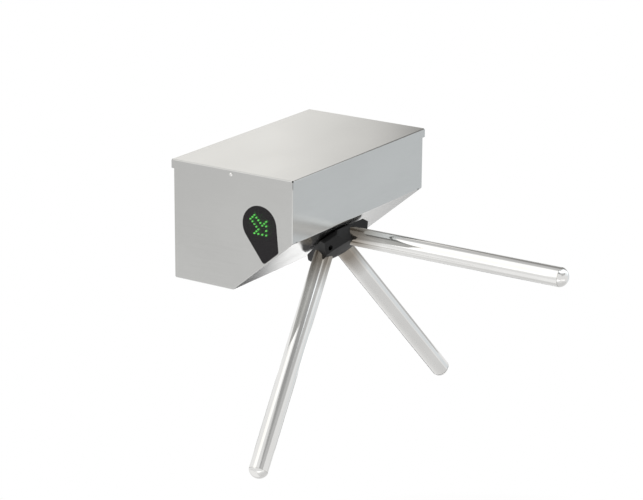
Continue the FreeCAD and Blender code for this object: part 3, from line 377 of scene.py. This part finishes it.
@dataclass(frozen=True)
class Finish:
    """A plain finish: a colour with a soft mottle, roughness that follows it, and a fine grain."""

    MOTTLE: ClassVar[Cloud] = Cloud(detail=4.0, fineness=0.55)
    FINE_GRAIN: ClassVar[Cloud] = Cloud(detail=2.0, fineness=0.5)

    name: str
    colour: Colour
    metallic: float = 0.0
    roughness: float = 0.5
    mottle: float = 0.12
    mottle_scale: float = 60.0
    rough_spread: float = 0.08
    grain_scale: float = 900.0
    grain_height: float = 0.02 * MM
    bump_strength: float = 0.25
    lift: float = 1.0

    def make(self) -> bpy.types.Material:
        """Builds the finish.

        Returns:
            The finished material.
        """
        bench = NodeBench(self.name)
        self.dress(bench)
        return bench.material

    def paint(self, bench: NodeBench, share: Any) -> None:
        """Runs the colour from a dark shade to a light one, which is lift times as far off.

        Args:
            bench: the material's nodes.
            share: a socket, 0 for dark and 1 for light.
        """
        dark = tinted(self.colour, 1 - self.mottle)
        light = tinted(self.colour, 1 + self.lift * self.mottle)
        bench.feed("Base Color", bench.blend_colours(share, dark, light))

    def dress(self, bench: NodeBench) -> None:
        """Colour from a soft mottle, roughness from the same, and a fine grain as bump.

        Args:
            bench: the material's nodes.
        """
        share = bench.patches((self.mottle_scale,) * 3, self.MOTTLE)
        self.paint(bench, share)
        bench.roughen(share, self.roughness - self.rough_spread, self.roughness + self.rough_spread)
        bench.fix("Metallic", self.metallic)
        grain = bench.stretched_noise((self.grain_scale,) * 3, self.FINE_GRAIN)
        bench.bump(grain, self.bump_strength, self.grain_height)


@dataclass(frozen=True)
class BrushedSheet(Finish):
    """Brushed stainless sheet: long fine scratches that turn with the fold, faint smears on top."""

    SCRATCHES: ClassVar[Cloud] = Cloud(detail=3.0, fineness=0.6)
    SMEARS: ClassVar[Cloud] = Cloud(detail=3.0, fineness=0.5)

    bump_strength: float = 0.12
    grain: Grain = Grain.FOLDED_SHEET
    scratch_across: float = 2600.0
    scratch_along: float = 14.0
    scratch_share: float = 0.6
    smear_scale: Point = (9.0, 5.0, 11.0)
    mix_low: float = 0.3
    mix_high: float = 0.7
    end_offset: Point = (0.3, 0.7, 0.1)
    end_start: float = 0.6
    end_full: float = 0.8

    def scratches(self, bench: NodeBench) -> Any:
        """Noise drawn out along Y, or along X where a folded sheet's face looks along Y.

        Args:
            bench: the material's nodes.

        Returns:
            The scratches' socket, 0 to 1.
        """
        fine, long = self.scratch_across, self.scratch_along
        lengthwise = bench.stretched_noise((fine, long, fine), self.SCRATCHES)
        if self.grain is Grain.ONE_WAY:
            return lengthwise
        crosswise = bench.stretched_noise((long, fine, fine), self.SCRATCHES, self.end_offset)
        mix = bench.add("ShaderNodeMix", data_type="FLOAT")
        bench.link(bench.ramp(bench.facing("Y"), self.end_start, self.end_full), mix.inputs["Factor"])
        bench.link(lengthwise, mix.inputs["A"])
        bench.link(crosswise, mix.inputs["B"])
        return mix.outputs["Result"]

    def dress(self, bench: NodeBench) -> None:
        """Roughness, colour and bump follow the scratches, with wide faint smears over them.

        Args:
            bench: the material's nodes.
        """
        scratch = self.scratches(bench)
        smear = bench.stretched_noise(self.smear_scale, self.SMEARS)
        fine = bench.maths("MULTIPLY", scratch, self.scratch_share)
        wide = bench.maths("MULTIPLY", smear, 1 - self.scratch_share)
        share = bench.ramp(bench.maths("ADD", fine, wide), self.mix_low, self.mix_high)
        self.paint(bench, share)
        bench.roughen(share, self.roughness + self.rough_spread, self.roughness - self.rough_spread)
        bench.fix("Metallic", self.metallic)
        bench.bump(scratch, self.bump_strength, self.grain_height)


@dataclass(frozen=True)
class PolishedTube(Finish):
    """Polished stainless: a near mirror with faint rubbed smudges, and a painted brown shade where it enters
    the hub.
    """

    SMUDGES: ClassVar[Cloud] = Cloud(detail=5.0, fineness=0.6, low=0.35, high=0.7)

    hub_centre: Point = (0.0, 0.0, 0.0)
    # Painted shade: near hub_centre the tube turns a dark brown, fully within the first distance and fading
    # out by the second.
    root_shade_colour: Colour = (0.3, 0.27, 0.235)
    root_shade_start: float = 0.075
    root_shade_end: float = 0.135
    smudge_scale: float = 14.0

    def dress(self, bench: NodeBench) -> None:
        """Roughness wanders with soft smudges; the colour dulls a little where hands rub, and a painted brown
        shade darkens the root.

        Args:
            bench: the material's nodes.
        """
        share = bench.patches((self.smudge_scale,) * 3, self.SMUDGES)
        rubbed = bench.blend_colours(share, tinted(self.colour, 1 - self.mottle), self.colour)
        # Painted shade at the roots: dark brown near the hub, ramping to the tube's own colour further out.
        unshaded = bench.ramp(bench.distance(self.hub_centre), self.root_shade_start, self.root_shade_end)
        bench.feed("Base Color", bench.blend_colours(unshaded, self.root_shade_colour, rubbed))
        bench.roughen(share, self.roughness + self.rough_spread, self.roughness)
        bench.fix("Metallic", self.metallic)


@dataclass(frozen=True)
class PowderCoat(Finish):
    """Matte black powder coat: an even fine orange peel."""

    PEEL: ClassVar[Cloud] = Cloud(detail=2.0, fineness=0.45)
    WEAR: ClassVar[Cloud] = Cloud(detail=4.0, fineness=0.6, low=0.3, high=0.75)

    bump_strength: float = 0.35
    lift: float = 2.0
    peel_scale: float = 700.0
    shine: float = 0.25

    def dress(self, bench: NodeBench) -> None:
        """A fine round texture as bump; colour and roughness follow wider patches of wear.

        Args:
            bench: the material's nodes.
        """
        share = bench.patches((self.mottle_scale,) * 3, self.WEAR)
        self.paint(bench, share)
        bench.roughen(share, self.roughness + self.rough_spread, self.roughness - self.rough_spread)
        bench.fix("Specular IOR Level", self.shine)
        peel = bench.stretched_noise((self.peel_scale,) * 3, self.PEEL)
        bench.bump(peel, self.bump_strength, self.grain_height)


@dataclass(frozen=True)
class SmokedPane(Finish):
    """Dark see-through acrylic with a polished face."""

    WIPES: ClassVar[Cloud] = Cloud(detail=4.0, fineness=0.6, low=0.3, high=0.75)

    wipe_scale: Point = (40.0, 40.0, 160.0)
    glass_index: float = 1.49
    shine: Colour = (0.62, 0.58, 0.61)

    def dress(self, bench: NodeBench) -> None:
        """Light goes through, tinted; the coated face shines less than bare acrylic and has wiping marks.

        Args:
            bench: the material's nodes.
        """
        share = bench.patches(self.wipe_scale, self.WIPES)
        self.paint(bench, share)
        bench.roughen(share, self.roughness, self.roughness + self.rough_spread)
        bench.fix("Transmission Weight", 1.0)
        bench.fix("IOR", self.glass_index)
        bench.fix("Specular Tint", (*self.shine, 1.0))


@dataclass(frozen=True)
class LitLamp(Finish):
    """A lit green lamp: bright at the crown of its dome, deep green on its flange."""

    GLOW: ClassVar[Cloud] = Cloud(detail=2.0, fineness=0.5, low=0.35, high=0.65)

    flange: Colour = (0.008, 0.2, 0.008)
    weakest: float = 11.0
    strongest: float = 15.0
    dome_start: float = 0.3
    dome_end: float = 0.85

    def dress(self, bench: NodeBench) -> None:
        """The colour follows the dome's height; the glow follows a soft mottle, so no two are quite alike.

        Both ends mirror each other, so the left lamps give the height of foot and crown for all.

        Args:
            bench: the material's nodes.
        """
        low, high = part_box("left_lamps")
        foot, crown = -high.y, -low.y
        start, end = (foot + share * (crown - foot) for share in (self.dome_start, self.dome_end))
        height = bench.ramp(bench.off_middle(), start, end)
        glow = bench.blend_colours(height, self.flange, self.colour)
        bench.feed("Base Color", glow)
        bench.feed("Emission Color", glow)
        strength = bench.patches((self.mottle_scale,) * 3, self.GLOW, self.weakest, self.strongest)
        bench.feed("Emission Strength", strength)
        bench.fix("Roughness", self.roughness)


def turnstile_finishes(hub_centre: Point) -> dict[str, Finish]:
    """The finish for each slot of the record.

    Args:
        hub_centre: where the arms' lines meet, which places the painted shade at the roots of the tubes.

    Returns:
        Finishes by slot.
    """
    return {
        "satin_stainless": BrushedSheet("satin_stainless_brushed", (0.5, 0.5, 0.488), metallic=1.0,
                                        roughness=0.18, mottle=0.05, rough_spread=0.04),
        "polished_stainless": PolishedTube("polished_stainless_tube", (0.74, 0.735, 0.72), metallic=1.0,
                                           roughness=0.06, mottle=0.05, rough_spread=0.05,
                                           hub_centre=hub_centre),
        "black_coat": PowderCoat("matte_black_coat", (0.011, 0.011, 0.0115), roughness=0.5, mottle=0.2,
                                 mottle_scale=25.0, grain_height=0.04 * MM),
        "smoked_acrylic": SmokedPane("smoked_acrylic_pane", (0.05, 0.051, 0.051), roughness=0.03, mottle=0.15,
                                     rough_spread=0.05),
        "green_lamp": LitLamp("lit_green_lamp", (0.2, 1.0, 0.16), roughness=0.3, mottle_scale=400.0),
        "circuit_board": Finish("green_solder_mask", (0.02, 0.16, 0.07), roughness=0.35, mottle=0.25,
                                mottle_scale=140.0),
        "zinc_steel": BrushedSheet("zinc_plated_steel", (0.5, 0.51, 0.525), metallic=1.0, roughness=0.36,
                                   mottle=0.06, rough_spread=0.05, grain=Grain.ONE_WAY,
                                   scratch_across=700.0, scratch_along=24.0),
        "bearing_steel": Finish("ground_bearing_steel", (0.46, 0.46, 0.47), metallic=1.0, roughness=0.24,
                                mottle=0.06, mottle_scale=30.0, rough_spread=0.04, grain_height=0.002 * MM),
        "grey_cast": Finish("machined_aluminium", (0.5, 0.51, 0.52), metallic=1.0, roughness=0.42,
                            mottle=0.06, mottle_scale=50.0, grain_height=0.006 * MM),
        "rubber": Finish("matte_black_rubber", (0.02, 0.02, 0.02), roughness=0.72, mottle=0.2,
                         mottle_scale=80.0, grain_height=0.05 * MM),
        "coil_tape": Finish("varnished_winding_tape", (0.28, 0.1, 0.03), roughness=0.4, mottle=0.2,
                            mottle_scale=220.0),
        "black_moulding": Finish("moulded_black_plastic", (0.03, 0.03, 0.03), roughness=0.5, mottle=0.15,
                                 mottle_scale=70.0),
        "terminal_green": Finish("moulded_green_plastic", (0.05, 0.3, 0.12), roughness=0.45, mottle=0.12,
                                 mottle_scale=70.0),
    }


@dataclass
class FinishShelf:
    """The finishes by slot of the record, and the materials made from them."""

    finishes: dict[str, Finish]
    made: dict[str, bpy.types.Material] = field(default_factory=dict)

    def take(self, slot: str) -> bpy.types.Material:
        """The slot's material, made the first time it is asked for.

        Args:
            slot: its name in the record.

        Returns:
            The material.
        """
        if slot not in self.made:
            self.made[slot] = self.finishes[slot].make()
        return self.made[slot]


# Sub-assemblies


@dataclass
class SubAssembly:
    """Solids that belong together, dressed together, with any fine pieces made for them."""

    nodes: ClassVar[tuple[str, ...]] = ()

    frame: dict[str, Any]
    shelf: FinishShelf

    def dress(self) -> None:
        """Puts on each solid the finish that the record names for it."""
        slots = {part["node"]: part["material_slot"] for part in self.frame["record"]["subparts"]}
        for name in self.nodes:
            materials = self.frame["nodes"][name].data.materials
            materials.clear()
            materials.append(self.shelf.take(slots[name]))
            LOG.info("dressed %s in %s", name, slots[name])

    def build(self) -> None:
        """Makes the fine pieces; a group of plain solids has none."""


class FoldedHousing(SubAssembly):
    """The folded casing with its lid, wall plate and seals."""

    nodes = ("wall_plate", "casing", "lid", "lid_gasket", "lid_screws", "lid_rivet_nuts", "cable_grommet",
             "rotor_seal")


class IndicatorWindows(SubAssembly):
    """The two dark windows with the lamp boards behind them."""

    nodes = ("left_lens", "right_lens", "light_boards", "left_lamps", "right_lamps", "board_screws")


class TripodRotor(SubAssembly):
    """The hub with its three arms, and all that turns with its shaft."""

    nodes = ("hub", "hub_bolt", "hub_cap", "arm_set_screws", "arm_1", "arm_2", "arm_3", "arm_cap_1",
             "arm_cap_2", "arm_cap_3", "rotor_shaft", "front_bearing_inner_ring", "rear_bearing_inner_ring",
             "bearing_spacer", "lock_disc", "drive_gear", "shaft_key", "encoder_disc", "shaft_nut")


class LockWork(SubAssembly):
    """The frame with the bearing housing, the two pawls and the solenoids that pull them."""

    nodes = ("mechanism_frame", "frame_bolts", "bearing_housing", "housing_bolts", "front_bearing_outer_ring",
             "rear_bearing_outer_ring", "pawl_pins", "retaining_clips", "solenoid_frames", "solenoid_coils",
             "left_pawl", "right_pawl", "left_plunger", "right_plunger")


class Electronics(SubAssembly):
    """The control board, the power supply and the position sensor."""

    nodes = ("control_board", "board_standoffs", "terminal_blocks", "relays", "power_supply",
             "position_sensor", "sensor_bracket")


@dataclass
class CentringWork(SubAssembly):
    """The crank, the damper, and the wound spring between the crank's pin and its anchor post."""

    nodes = ("crank_axle", "centring_crank", "spring_anchor", "centring_spring", "damper_body",
             "damper_pinion")
    along: ClassVar[Array] = np.array([0.0, 1.0, 0.0])

    axis: Array
    wire: float = 1.8 * MM
    coil_width: float = 10.0 * MM
    pin_width: float = 6.0 * MM
    post_width: float = 8.0 * MM
    pin_clearance: float = 0.3 * MM
    pitch: float = 2.15 * MM
    lead_in: float = 1.5 * math.pi
    tilt_in: float = 0.25 * math.pi
    least_step: float = 0.0018 * MM
    loop_share: float = 0.86
    steps_per_turn: int = 24
    wire_sides: int = 10

    @property
    def cross(self) -> Array:
        """The direction across both the coil's line and the pins."""
        return np.cross(self.along, self.axis)

    def loop(self, centre: Array, radius: float, toward: float) -> tuple[Array, Array]:
        """A hook round a pin, open by a small gap, that ends or starts at its point nearest the coil.

        The point at angle t is centre + radius * toward * (sin t * cross + cos t * along), where along is
        the coil's line.

        Args:
            centre: the pin's middle.
            radius: of the wire's middle line.
            toward: 1 where the coil lies on the rising side of the line, -1 where it lies on the other.

        Returns:
            Path points, and the pin's direction at each as the reference.
        """
        count = int(self.loop_share * self.steps_per_turn)
        reach = 2 * math.pi * self.loop_share
        turn = np.linspace(0.0, reach, count)
        if toward > 0:
            turn = np.linspace(-reach, 0.0, count, endpoint=False)
        ring = np.sin(turn)[:, None] * self.cross + np.cos(turn)[:, None] * self.along
        return centre + radius * toward * ring, np.tile(self.axis, (count, 1))

    def coil(self, start: Array, end: Array) -> tuple[Array, Array]:
        """A close-wound helix whose first and last turns spiral out from and back to its own line.

        The point at angle t is start + t / total * (end - start) + r * (cos t * cross + sin t * axis). The
        radius r rises by a quarter sine over the lead-in, holds, and falls again in the same way. The
        reference turns from the pin's direction to the coil's line within the first eighth of a turn, and
        back again within the last.

        Args:
            start: the coil's line at the fixed post.
            end: the coil's line at the crank.

        Returns:
            Path points and references.
        """
        turns = round(float(np.linalg.norm(end - start)) / self.pitch)
        total = 2 * math.pi * turns
        turn = np.linspace(0.0, total, turns * self.steps_per_turn + 1)
        from_end = np.minimum(turn, total - turn)
        rise = np.sin(math.pi / 2 * np.clip(from_end / self.lead_in, 0.0, 1.0))
        radius = (self.coil_width - self.wire) / 2 * rise
        ring = np.cos(turn)[:, None] * self.cross + np.sin(turn)[:, None] * self.axis
        path = start + (turn / total)[:, None] * (end - start) + radius[:, None] * ring
        tilt = np.clip(from_end / self.tilt_in, 0.0, 1.0) * math.pi / 2
        return path, np.cos(tilt)[:, None] * self.axis + np.sin(tilt)[:, None] * self.along

    def build(self) -> None:
        """The spring from hook to hook, in the space of its plain solid."""
        low, high = (np.array(corner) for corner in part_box("centring_spring"))
        middle = (low + high) / 2
        widths = (self.post_width, self.pin_width)
        post_hook, pin_hook = (width / 2 + self.pin_clearance + self.wire / 2 for width in widths)
        post = np.array([middle[0], low[1] + post_hook + self.wire / 2, middle[2]])
        pin = np.array([middle[0], high[1] - pin_hook - self.wire / 2, middle[2]])
        runs = (
            self.loop(post, post_hook, 1.0),
            self.coil(post + post_hook * self.along, pin - pin_hook * self.along),
            self.loop(pin, pin_hook, -1.0),
        )
        path, reference = (np.concatenate(pieces) for pieces in zip(*runs))
        keep = np.concatenate([[True], np.linalg.norm(np.diff(path, axis=0), axis=1) > self.least_step])
        points, faces = tube_along(path[keep], reference[keep], self.wire / 2, self.wire_sides)
        piece = mesh_piece("centring_spring_coil", points, faces, self.shelf.take("bearing_steel"))
        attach(piece, "housing")
        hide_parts("centring_spring")
        LOG.info("built %s", piece.name)


# Studio

WHITE: Colour = (1.0, 1.0, 1.0)
WARM: Colour = (1.0, 0.985, 0.96)
COOL: Colour = (0.93, 0.97, 1.0)


@dataclass(frozen=True)
class SoftBox:
    """A lamp that looks at the hub: place, size, watts, how bright metal shows its face, and tint."""

    name: str
    place: Point
    width: float
    height: float
    power: float
    face: float
    tint: Colour = WHITE


@dataclass(frozen=True)
class Reflector:
    """A flat card that only reflections show: the point at shares (s, t) is corner + s * across + t * upward.

    Its levels are (share s, brightness) pairs, where a brightness of 1 is white.
    """

    name: str
    corner: Point
    across: Point
    upward: Point
    levels: Levels
    tint: Colour = WHITE


def even(brightness: float) -> Levels:
    """Levels of a card that is equally bright all over."""
    return ((0.0, brightness), (1.0, brightness))


SOFT_BOXES: tuple[SoftBox, ...] = (
    SoftBox("left_box", (-1.0, -2.0, 1.15), width=2.2, height=1.7, power=19.0, face=1.45, tint=WARM),
    SoftBox("right_box", (2.0, 1.7, 0.55), width=2.4, height=0.8, power=8.0, face=1.12, tint=COOL),
)

REFLECTORS: tuple[Reflector, ...] = (
    Reflector("lid_card", (-1.5, 0.9, 0.1), (2.4, 0.0, 0.0), (0.0, 0.0, 1.2),
              ((0.0, 1.24), (0.4, 1.24), (0.53, 0.9), (0.6, 0.35), (1.0, 0.33)), WARM),
    Reflector("back_ceiling", (-2.6, 0.0, 1.9), (0.0, 3.0, 0.0), (5.4, 0.0, 0.0), ((0.0, 0.75), (1.0, 0.4))),
    Reflector("left_ceiling", (-1.4, -1.9, 1.9), (1.2, 0.0, 0.0), (0.0, 1.75, 0.0), even(1.45)),
    Reflector("left_wall", (-1.7, -1.5, -0.3), (0.0, 2.1, 0.0), (0.0, 0.0, 2.15), even(1.1)),
    Reflector("right_ceiling", (0.3, -1.5, 1.9), (2.3, 0.0, 0.0), (0.0, 0.8, 0.0),
              ((0.0, 0.42), (0.6, 0.45), (1.0, 0.62))),
    Reflector("right_wall", (3.0, -1.2, 0.95), (0.0, 2.4, 0.0), (0.0, 0.0, 1.9), even(0.64)),
    Reflector("right_top", (0.9, -0.7, 1.9), (1.4, 0.0, 0.0), (0.0, 0.7, 0.0), even(1.6), COOL),
    Reflector("left_strip", (-0.9, -1.5, -0.08), (0.9, 0.0, 0.0), (0.0, 0.0, 0.6), even(1.5)),
    Reflector("front_floor", (0.3, -3.2, -0.9), (2.4, 0.0, 0.0), (0.0, 2.0, 0.0),
              ((0.0, 1.0), (0.3, 1.6), (0.7, 1.6), (1.0, 1.0))),
    Reflector("left_floor", (-2.8, -3.6, -0.9), (1.5, 0.0, 0.0), (0.0, 1.8, 0.0),
              ((0.0, 0.84), (0.55, 0.89), (0.8, 1.02), (1.0, 1.02))),
    Reflector("near_floor", (-1.0, -1.8, -0.9), (1.4, 0.0, 0.0), (0.0, 1.4, 0.0), even(1.12)),
    Reflector("right_floor", (0.5, -0.3, -0.9), (1.4, 0.0, 0.0), (0.0, 1.3, 0.0),
              ((0.0, 0.82), (0.8, 0.82), (1.0, 1.0))),
    Reflector("slope_floor", (-1.1, 0.7, -0.9), (0.0, 1.3, 0.0), (1.2, 0.0, 0.0),
              ((0.0, 0.1), (0.35, 0.1), (0.39, 1.75), (0.55, 1.75), (0.62, 0.66), (1.0, 0.66))),
    Reflector("arm_ceiling", (1.2, 0.0, 1.85), (1.6, 0.0, 0.0), (0.0, 1.7, 0.0), even(1.6), COOL),
    Reflector("arm_wall", (0.9, 1.7, 0.1), (1.9, 0.0, 0.0), (0.0, 0.0, 1.75), even(1.6), COOL),
    Reflector("corner_floor", (2.6, -1.8, -0.9), (1.0, 0.0, 0.0), (0.0, 2.2, 0.0), even(1.6)),
    Reflector("front_fill", (0.6, 1.2, -0.8), (0.9, 0.0, 0.0), (0.0, 0.0, 0.85), even(0.97), COOL),
    Reflector("low_back", (-0.25, 1.0, -0.45), (0.75, 0.0, 0.0), (0.0, 0.0, 0.45), even(0.6)),
)


@dataclass
class Studio:
    """Floor, backdrop light, lamps, reflectors and camera, placed about the point where the arms meet."""

    FLOOR_TONE: ClassVar[Cloud] = Cloud(detail=3.0, fineness=0.5)

    apex: Vector
    reach: float = 0.528
    floor_drop: float = 0.86
    floor_half: float = 24.0
    floor_lines: int = 13
    floor_dark: Colour = (0.86, 0.86, 0.86)
    floor_light: Colour = (0.9, 0.9, 0.9)
    floor_scale: float = 3.0
    floor_roughness: float = 0.9
    ambient: float = 0.6
    # Painted shade on the floor: a grey patch round shade_middle, dimmest within shade_inner and gone past
    # shade_outer.
    shade_middle: tuple[float, float] = (0.7, -0.1)
    shade_inner: float = 0.4
    shade_outer: float = 1.05
    shade_white: float = 0.5
    card_steps: int = 51
    azimuth: float = 33.12
    elevation: float = 17.57
    roll: float = 0.43
    focal_px: float = 2318.0
    image_width_px: float = 643.0
    sensor_mm: float = 36.0
    aim_x: float = -0.034
    aim_y: float = -0.070
    distance: float = 8.701

    def camera(self) -> bpy.types.Object:
        """The camera at the photograph's viewing angle, with its place counted in arm reaches from the apex.

        Returns:
            The camera object.
        """
        az, el, roll = (math.radians(a) for a in (self.azimuth, self.elevation, self.roll))
        back = Vector((math.sin(az) * math.cos(el), -math.cos(az) * math.cos(el), math.sin(el)))
        right = Vector((math.cos(az), math.sin(az), 0.0))
        up = back.cross(right)
        across = math.cos(roll) * right + math.sin(roll) * up
        upward = -math.sin(roll) * right + math.cos(roll) * up
        place = self.apex + self.reach * (self.aim_x * across + self.aim_y * upward + self.distance * back)
        data = bpy.data.cameras.new("camera")
        data.sensor_width = self.sensor_mm
        data.lens = self.focal_px / self.image_width_px * self.sensor_mm
        camera = bpy.data.objects.new("camera", data)
        turn = Matrix((across, upward, back)).transposed().to_4x4()
        camera.matrix_world = Matrix.Translation(place) @ turn
        bpy.context.scene.collection.objects.link(camera)
        bpy.context.scene.camera = camera
        return camera

    def seen_white(self, tree: bpy.types.NodeTree) -> Any:
        """A socket that is 1 for rays that look at the background: camera, mirror and see-through rays.

        Args:
            tree: the node tree to add to.

        Returns:
            The socket.
        """
        path = tree.nodes.new("ShaderNodeLightPath")
        total = path.outputs["Is Camera Ray"]
        for name in ("Is Glossy Ray", "Is Transmission Ray"):
            most = tree.nodes.new("ShaderNodeMath")
            most.operation = "MAXIMUM"
            tree.links.new(total, most.inputs[0])
            tree.links.new(path.outputs[name], most.inputs[1])
            total = most.outputs["Value"]
        return total

    def world(self) -> None:
        """A white surround that lights softly and shows as plain white."""
        world = bpy.data.worlds.new("white_surround")
        world.use_nodes = True
        bpy.context.scene.world = world
        tree = world.node_tree
        background = tree.nodes["Background"]
        background.inputs["Color"].default_value = (*WHITE, 1.0)
        level = tree.nodes.new("ShaderNodeMapRange")
        level.inputs["To Min"].default_value = self.ambient
        level.inputs["To Max"].default_value = 1.0
        tree.links.new(self.seen_white(tree), level.inputs["Value"])
        tree.links.new(level.outputs["Result"], background.inputs["Strength"])

    def floor_finish(self, level: float) -> bpy.types.Material:
        """A pale matte with a painted grey shade patch beside the part, in which the real shadow also shows;
        plain white further out.

        From below it is clear, so that the underside can be looked at.

        Args:
            level: the floor's height.

        Returns:
            The material.
        """
        bench = NodeBench("pale_floor")
        tone = bench.stretched_noise((self.floor_scale,) * 3, self.FLOOR_TONE)
        bench.feed("Base Color", bench.blend_colours(tone, self.floor_dark, self.floor_light))
        bench.fix("Roughness", self.floor_roughness)
        bench.fix("Specular IOR Level", 0.0)
        # Painted shade: the white glow drops to shade_white near shade_middle, a grey patch laid down
        # whatever the part's real shadow.
        away = bench.distance((*self.shade_middle, level))
        whiteness = bench.ramp(away, self.shade_inner, self.shade_outer, self.shade_white, 1.0)
        glow = bench.add("ShaderNodeEmission")
        mix = bench.add("ShaderNodeMixShader")
        bench.link(bench.maths("MULTIPLY", self.seen_white(bench.tree), whiteness), mix.inputs["Fac"])
        bench.link(bench.shader.outputs["BSDF"], mix.inputs[1])
        bench.link(glow.outputs["Emission"], mix.inputs[2])
        side = bench.add("ShaderNodeNewGeometry")
        clear = bench.add("ShaderNodeBsdfTransparent")
        either = bench.add("ShaderNodeMixShader")
        bench.link(side.outputs["Backfacing"], either.inputs["Fac"])
        bench.link(mix.outputs["Shader"], either.inputs[1])
        bench.link(clear.outputs["BSDF"], either.inputs[2])
        bench.link(either.outputs["Shader"], bench.output.inputs["Surface"])
        return bench.material

    def floor(self) -> bpy.types.Object:
        """A flat square at walking level: the point at (x, y) lies at the floor's height.

        Returns:
            The floor.
        """
        level = self.apex.z - self.floor_drop
        lines = np.linspace(-self.floor_half, self.floor_half, self.floor_lines)
        xx, yy = np.meshgrid(lines, lines, indexing="ij")
        points = np.stack([xx, yy, np.full_like(xx, level)], axis=-1).reshape(-1, 3)
        quads = grid_faces(self.floor_lines, self.floor_lines)[:, ::-1]
        floor = mesh_piece("pale_floor", points, [quads], self.floor_finish(level))
        return floor

    def card(self, reflector: Reflector) -> bpy.types.Object:
        """One reflector as a grid whose points carry its brightness.

        Args:
            reflector: its place, edges and levels.

        Returns:
            The card.
        """
        bench = NodeBench(reflector.name)
        glow = bench.add("ShaderNodeEmission")
        glow.inputs["Color"].default_value = (*reflector.tint, 1.0)
        level = bench.add("ShaderNodeAttribute", attribute_name="level")
        bench.link(level.outputs["Fac"], glow.inputs["Strength"])
        bench.link(glow.outputs["Emission"], bench.output.inputs["Surface"])
        share = np.linspace(0.0, 1.0, self.card_steps)
        ss, tt = np.meshgrid(share, share, indexing="ij")
        corner, across, upward = (np.array(v) for v in (reflector.corner, reflector.across, reflector.upward))
        points = corner + ss[..., None] * across + tt[..., None] * upward
        quads = grid_faces(self.card_steps, self.card_steps)
        card = mesh_piece(reflector.name, points.reshape(-1, 3), [quads], bench.material)
        brightness = np.interp(ss.ravel(), *zip(*reflector.levels)).astype(np.float32)
        card.data.attributes.new("level", "FLOAT", "POINT").data.foreach_set("value", brightness)
        card.visible_camera = False
        card.visible_diffuse = False
        card.visible_transmission = False
        card.visible_shadow = False
        return card

    def lamp(self, box: SoftBox) -> bpy.types.Object:
        """One soft box, turned to look at the hub.

        Args:
            box: its place, size and strength.

        Returns:
            The lamp.
        """
        data = bpy.data.lights.new(box.name, "AREA")
        data.shape = "RECTANGLE"
        data.size = box.width
        data.size_y = box.height
        data.energy = box.power
        data.color = box.tint
        lamp = bpy.data.objects.new(box.name, data)
        lamp.location = box.place
        lamp.rotation_mode = "QUATERNION"
        lamp.rotation_quaternion = (self.apex - Vector(box.place)).to_track_quat("-Z", "Y")
        lamp.visible_camera = False
        lamp.visible_glossy = False
        bpy.context.scene.collection.objects.link(lamp)
        return lamp

    def face_of(self, box: SoftBox) -> Reflector:
        """The lit face of a soft box as metal shows it, in the lamp's own place.

        Args:
            box: the soft box.

        Returns:
            A reflector of the same size, square to the line from the box to the hub.
        """
        place = Vector(box.place)
        ahead = (self.apex - place).normalized()
        across = ahead.cross(Vector((0.0, 0.0, 1.0))).normalized() * box.width
        upward = across.cross(ahead).normalized() * box.height
        corner = place - (across + upward) / 2
        edges = (tuple(corner), tuple(across), tuple(upward))
        return Reflector(f"{box.name}_face", *edges, even(box.face), box.tint)

    def build(self) -> None:
        """Floor, surround, soft boxes, reflectors and camera together."""
        self.world()
        LOG.info("laid %s", self.floor().name)
        for box in SOFT_BOXES:
            LOG.info("lit %s", self.lamp(box).name)
        for reflector in (*REFLECTORS, *map(self.face_of, SOFT_BOXES)):
            LOG.info("set %s", self.card(reflector).name)
        LOG.info("aimed %s", self.camera().name)


PLAIN_GROUPS: tuple[type[SubAssembly], ...] = (
    FoldedHousing,
    IndicatorWindows,
    TripodRotor,
    LockWork,
    Electronics,
)


def main() -> None:
    """Loads the solids, dresses them, adds the fine pieces and sets the studio."""
    logging.basicConfig(level=logging.INFO, format="%(message)s")
    bpy.ops.wm.read_factory_settings(use_empty=True)
    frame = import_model()
    bpy.context.scene.view_settings.view_transform = "Standard"
    spin = next(joint for joint in frame["joints"] if joint["name"] == "rotor_spin")
    shelf = FinishShelf(turnstile_finishes(tuple(spin["pos_m"])))
    groups: list[SubAssembly] = [kind(frame, shelf) for kind in PLAIN_GROUPS]
    groups.append(CentringWork(frame, shelf, np.array(spin["axis"])))
    for group in groups:
        group.dress()
        group.build()
    bare = set(frame["nodes"]) - {name for group in groups for name in group.nodes}
    if bare:
        raise ValueError(f"no finish for {sorted(bare)}")
    Studio(Vector(spin["pos_m"])).build()


if __name__ == "__main__":
    main()
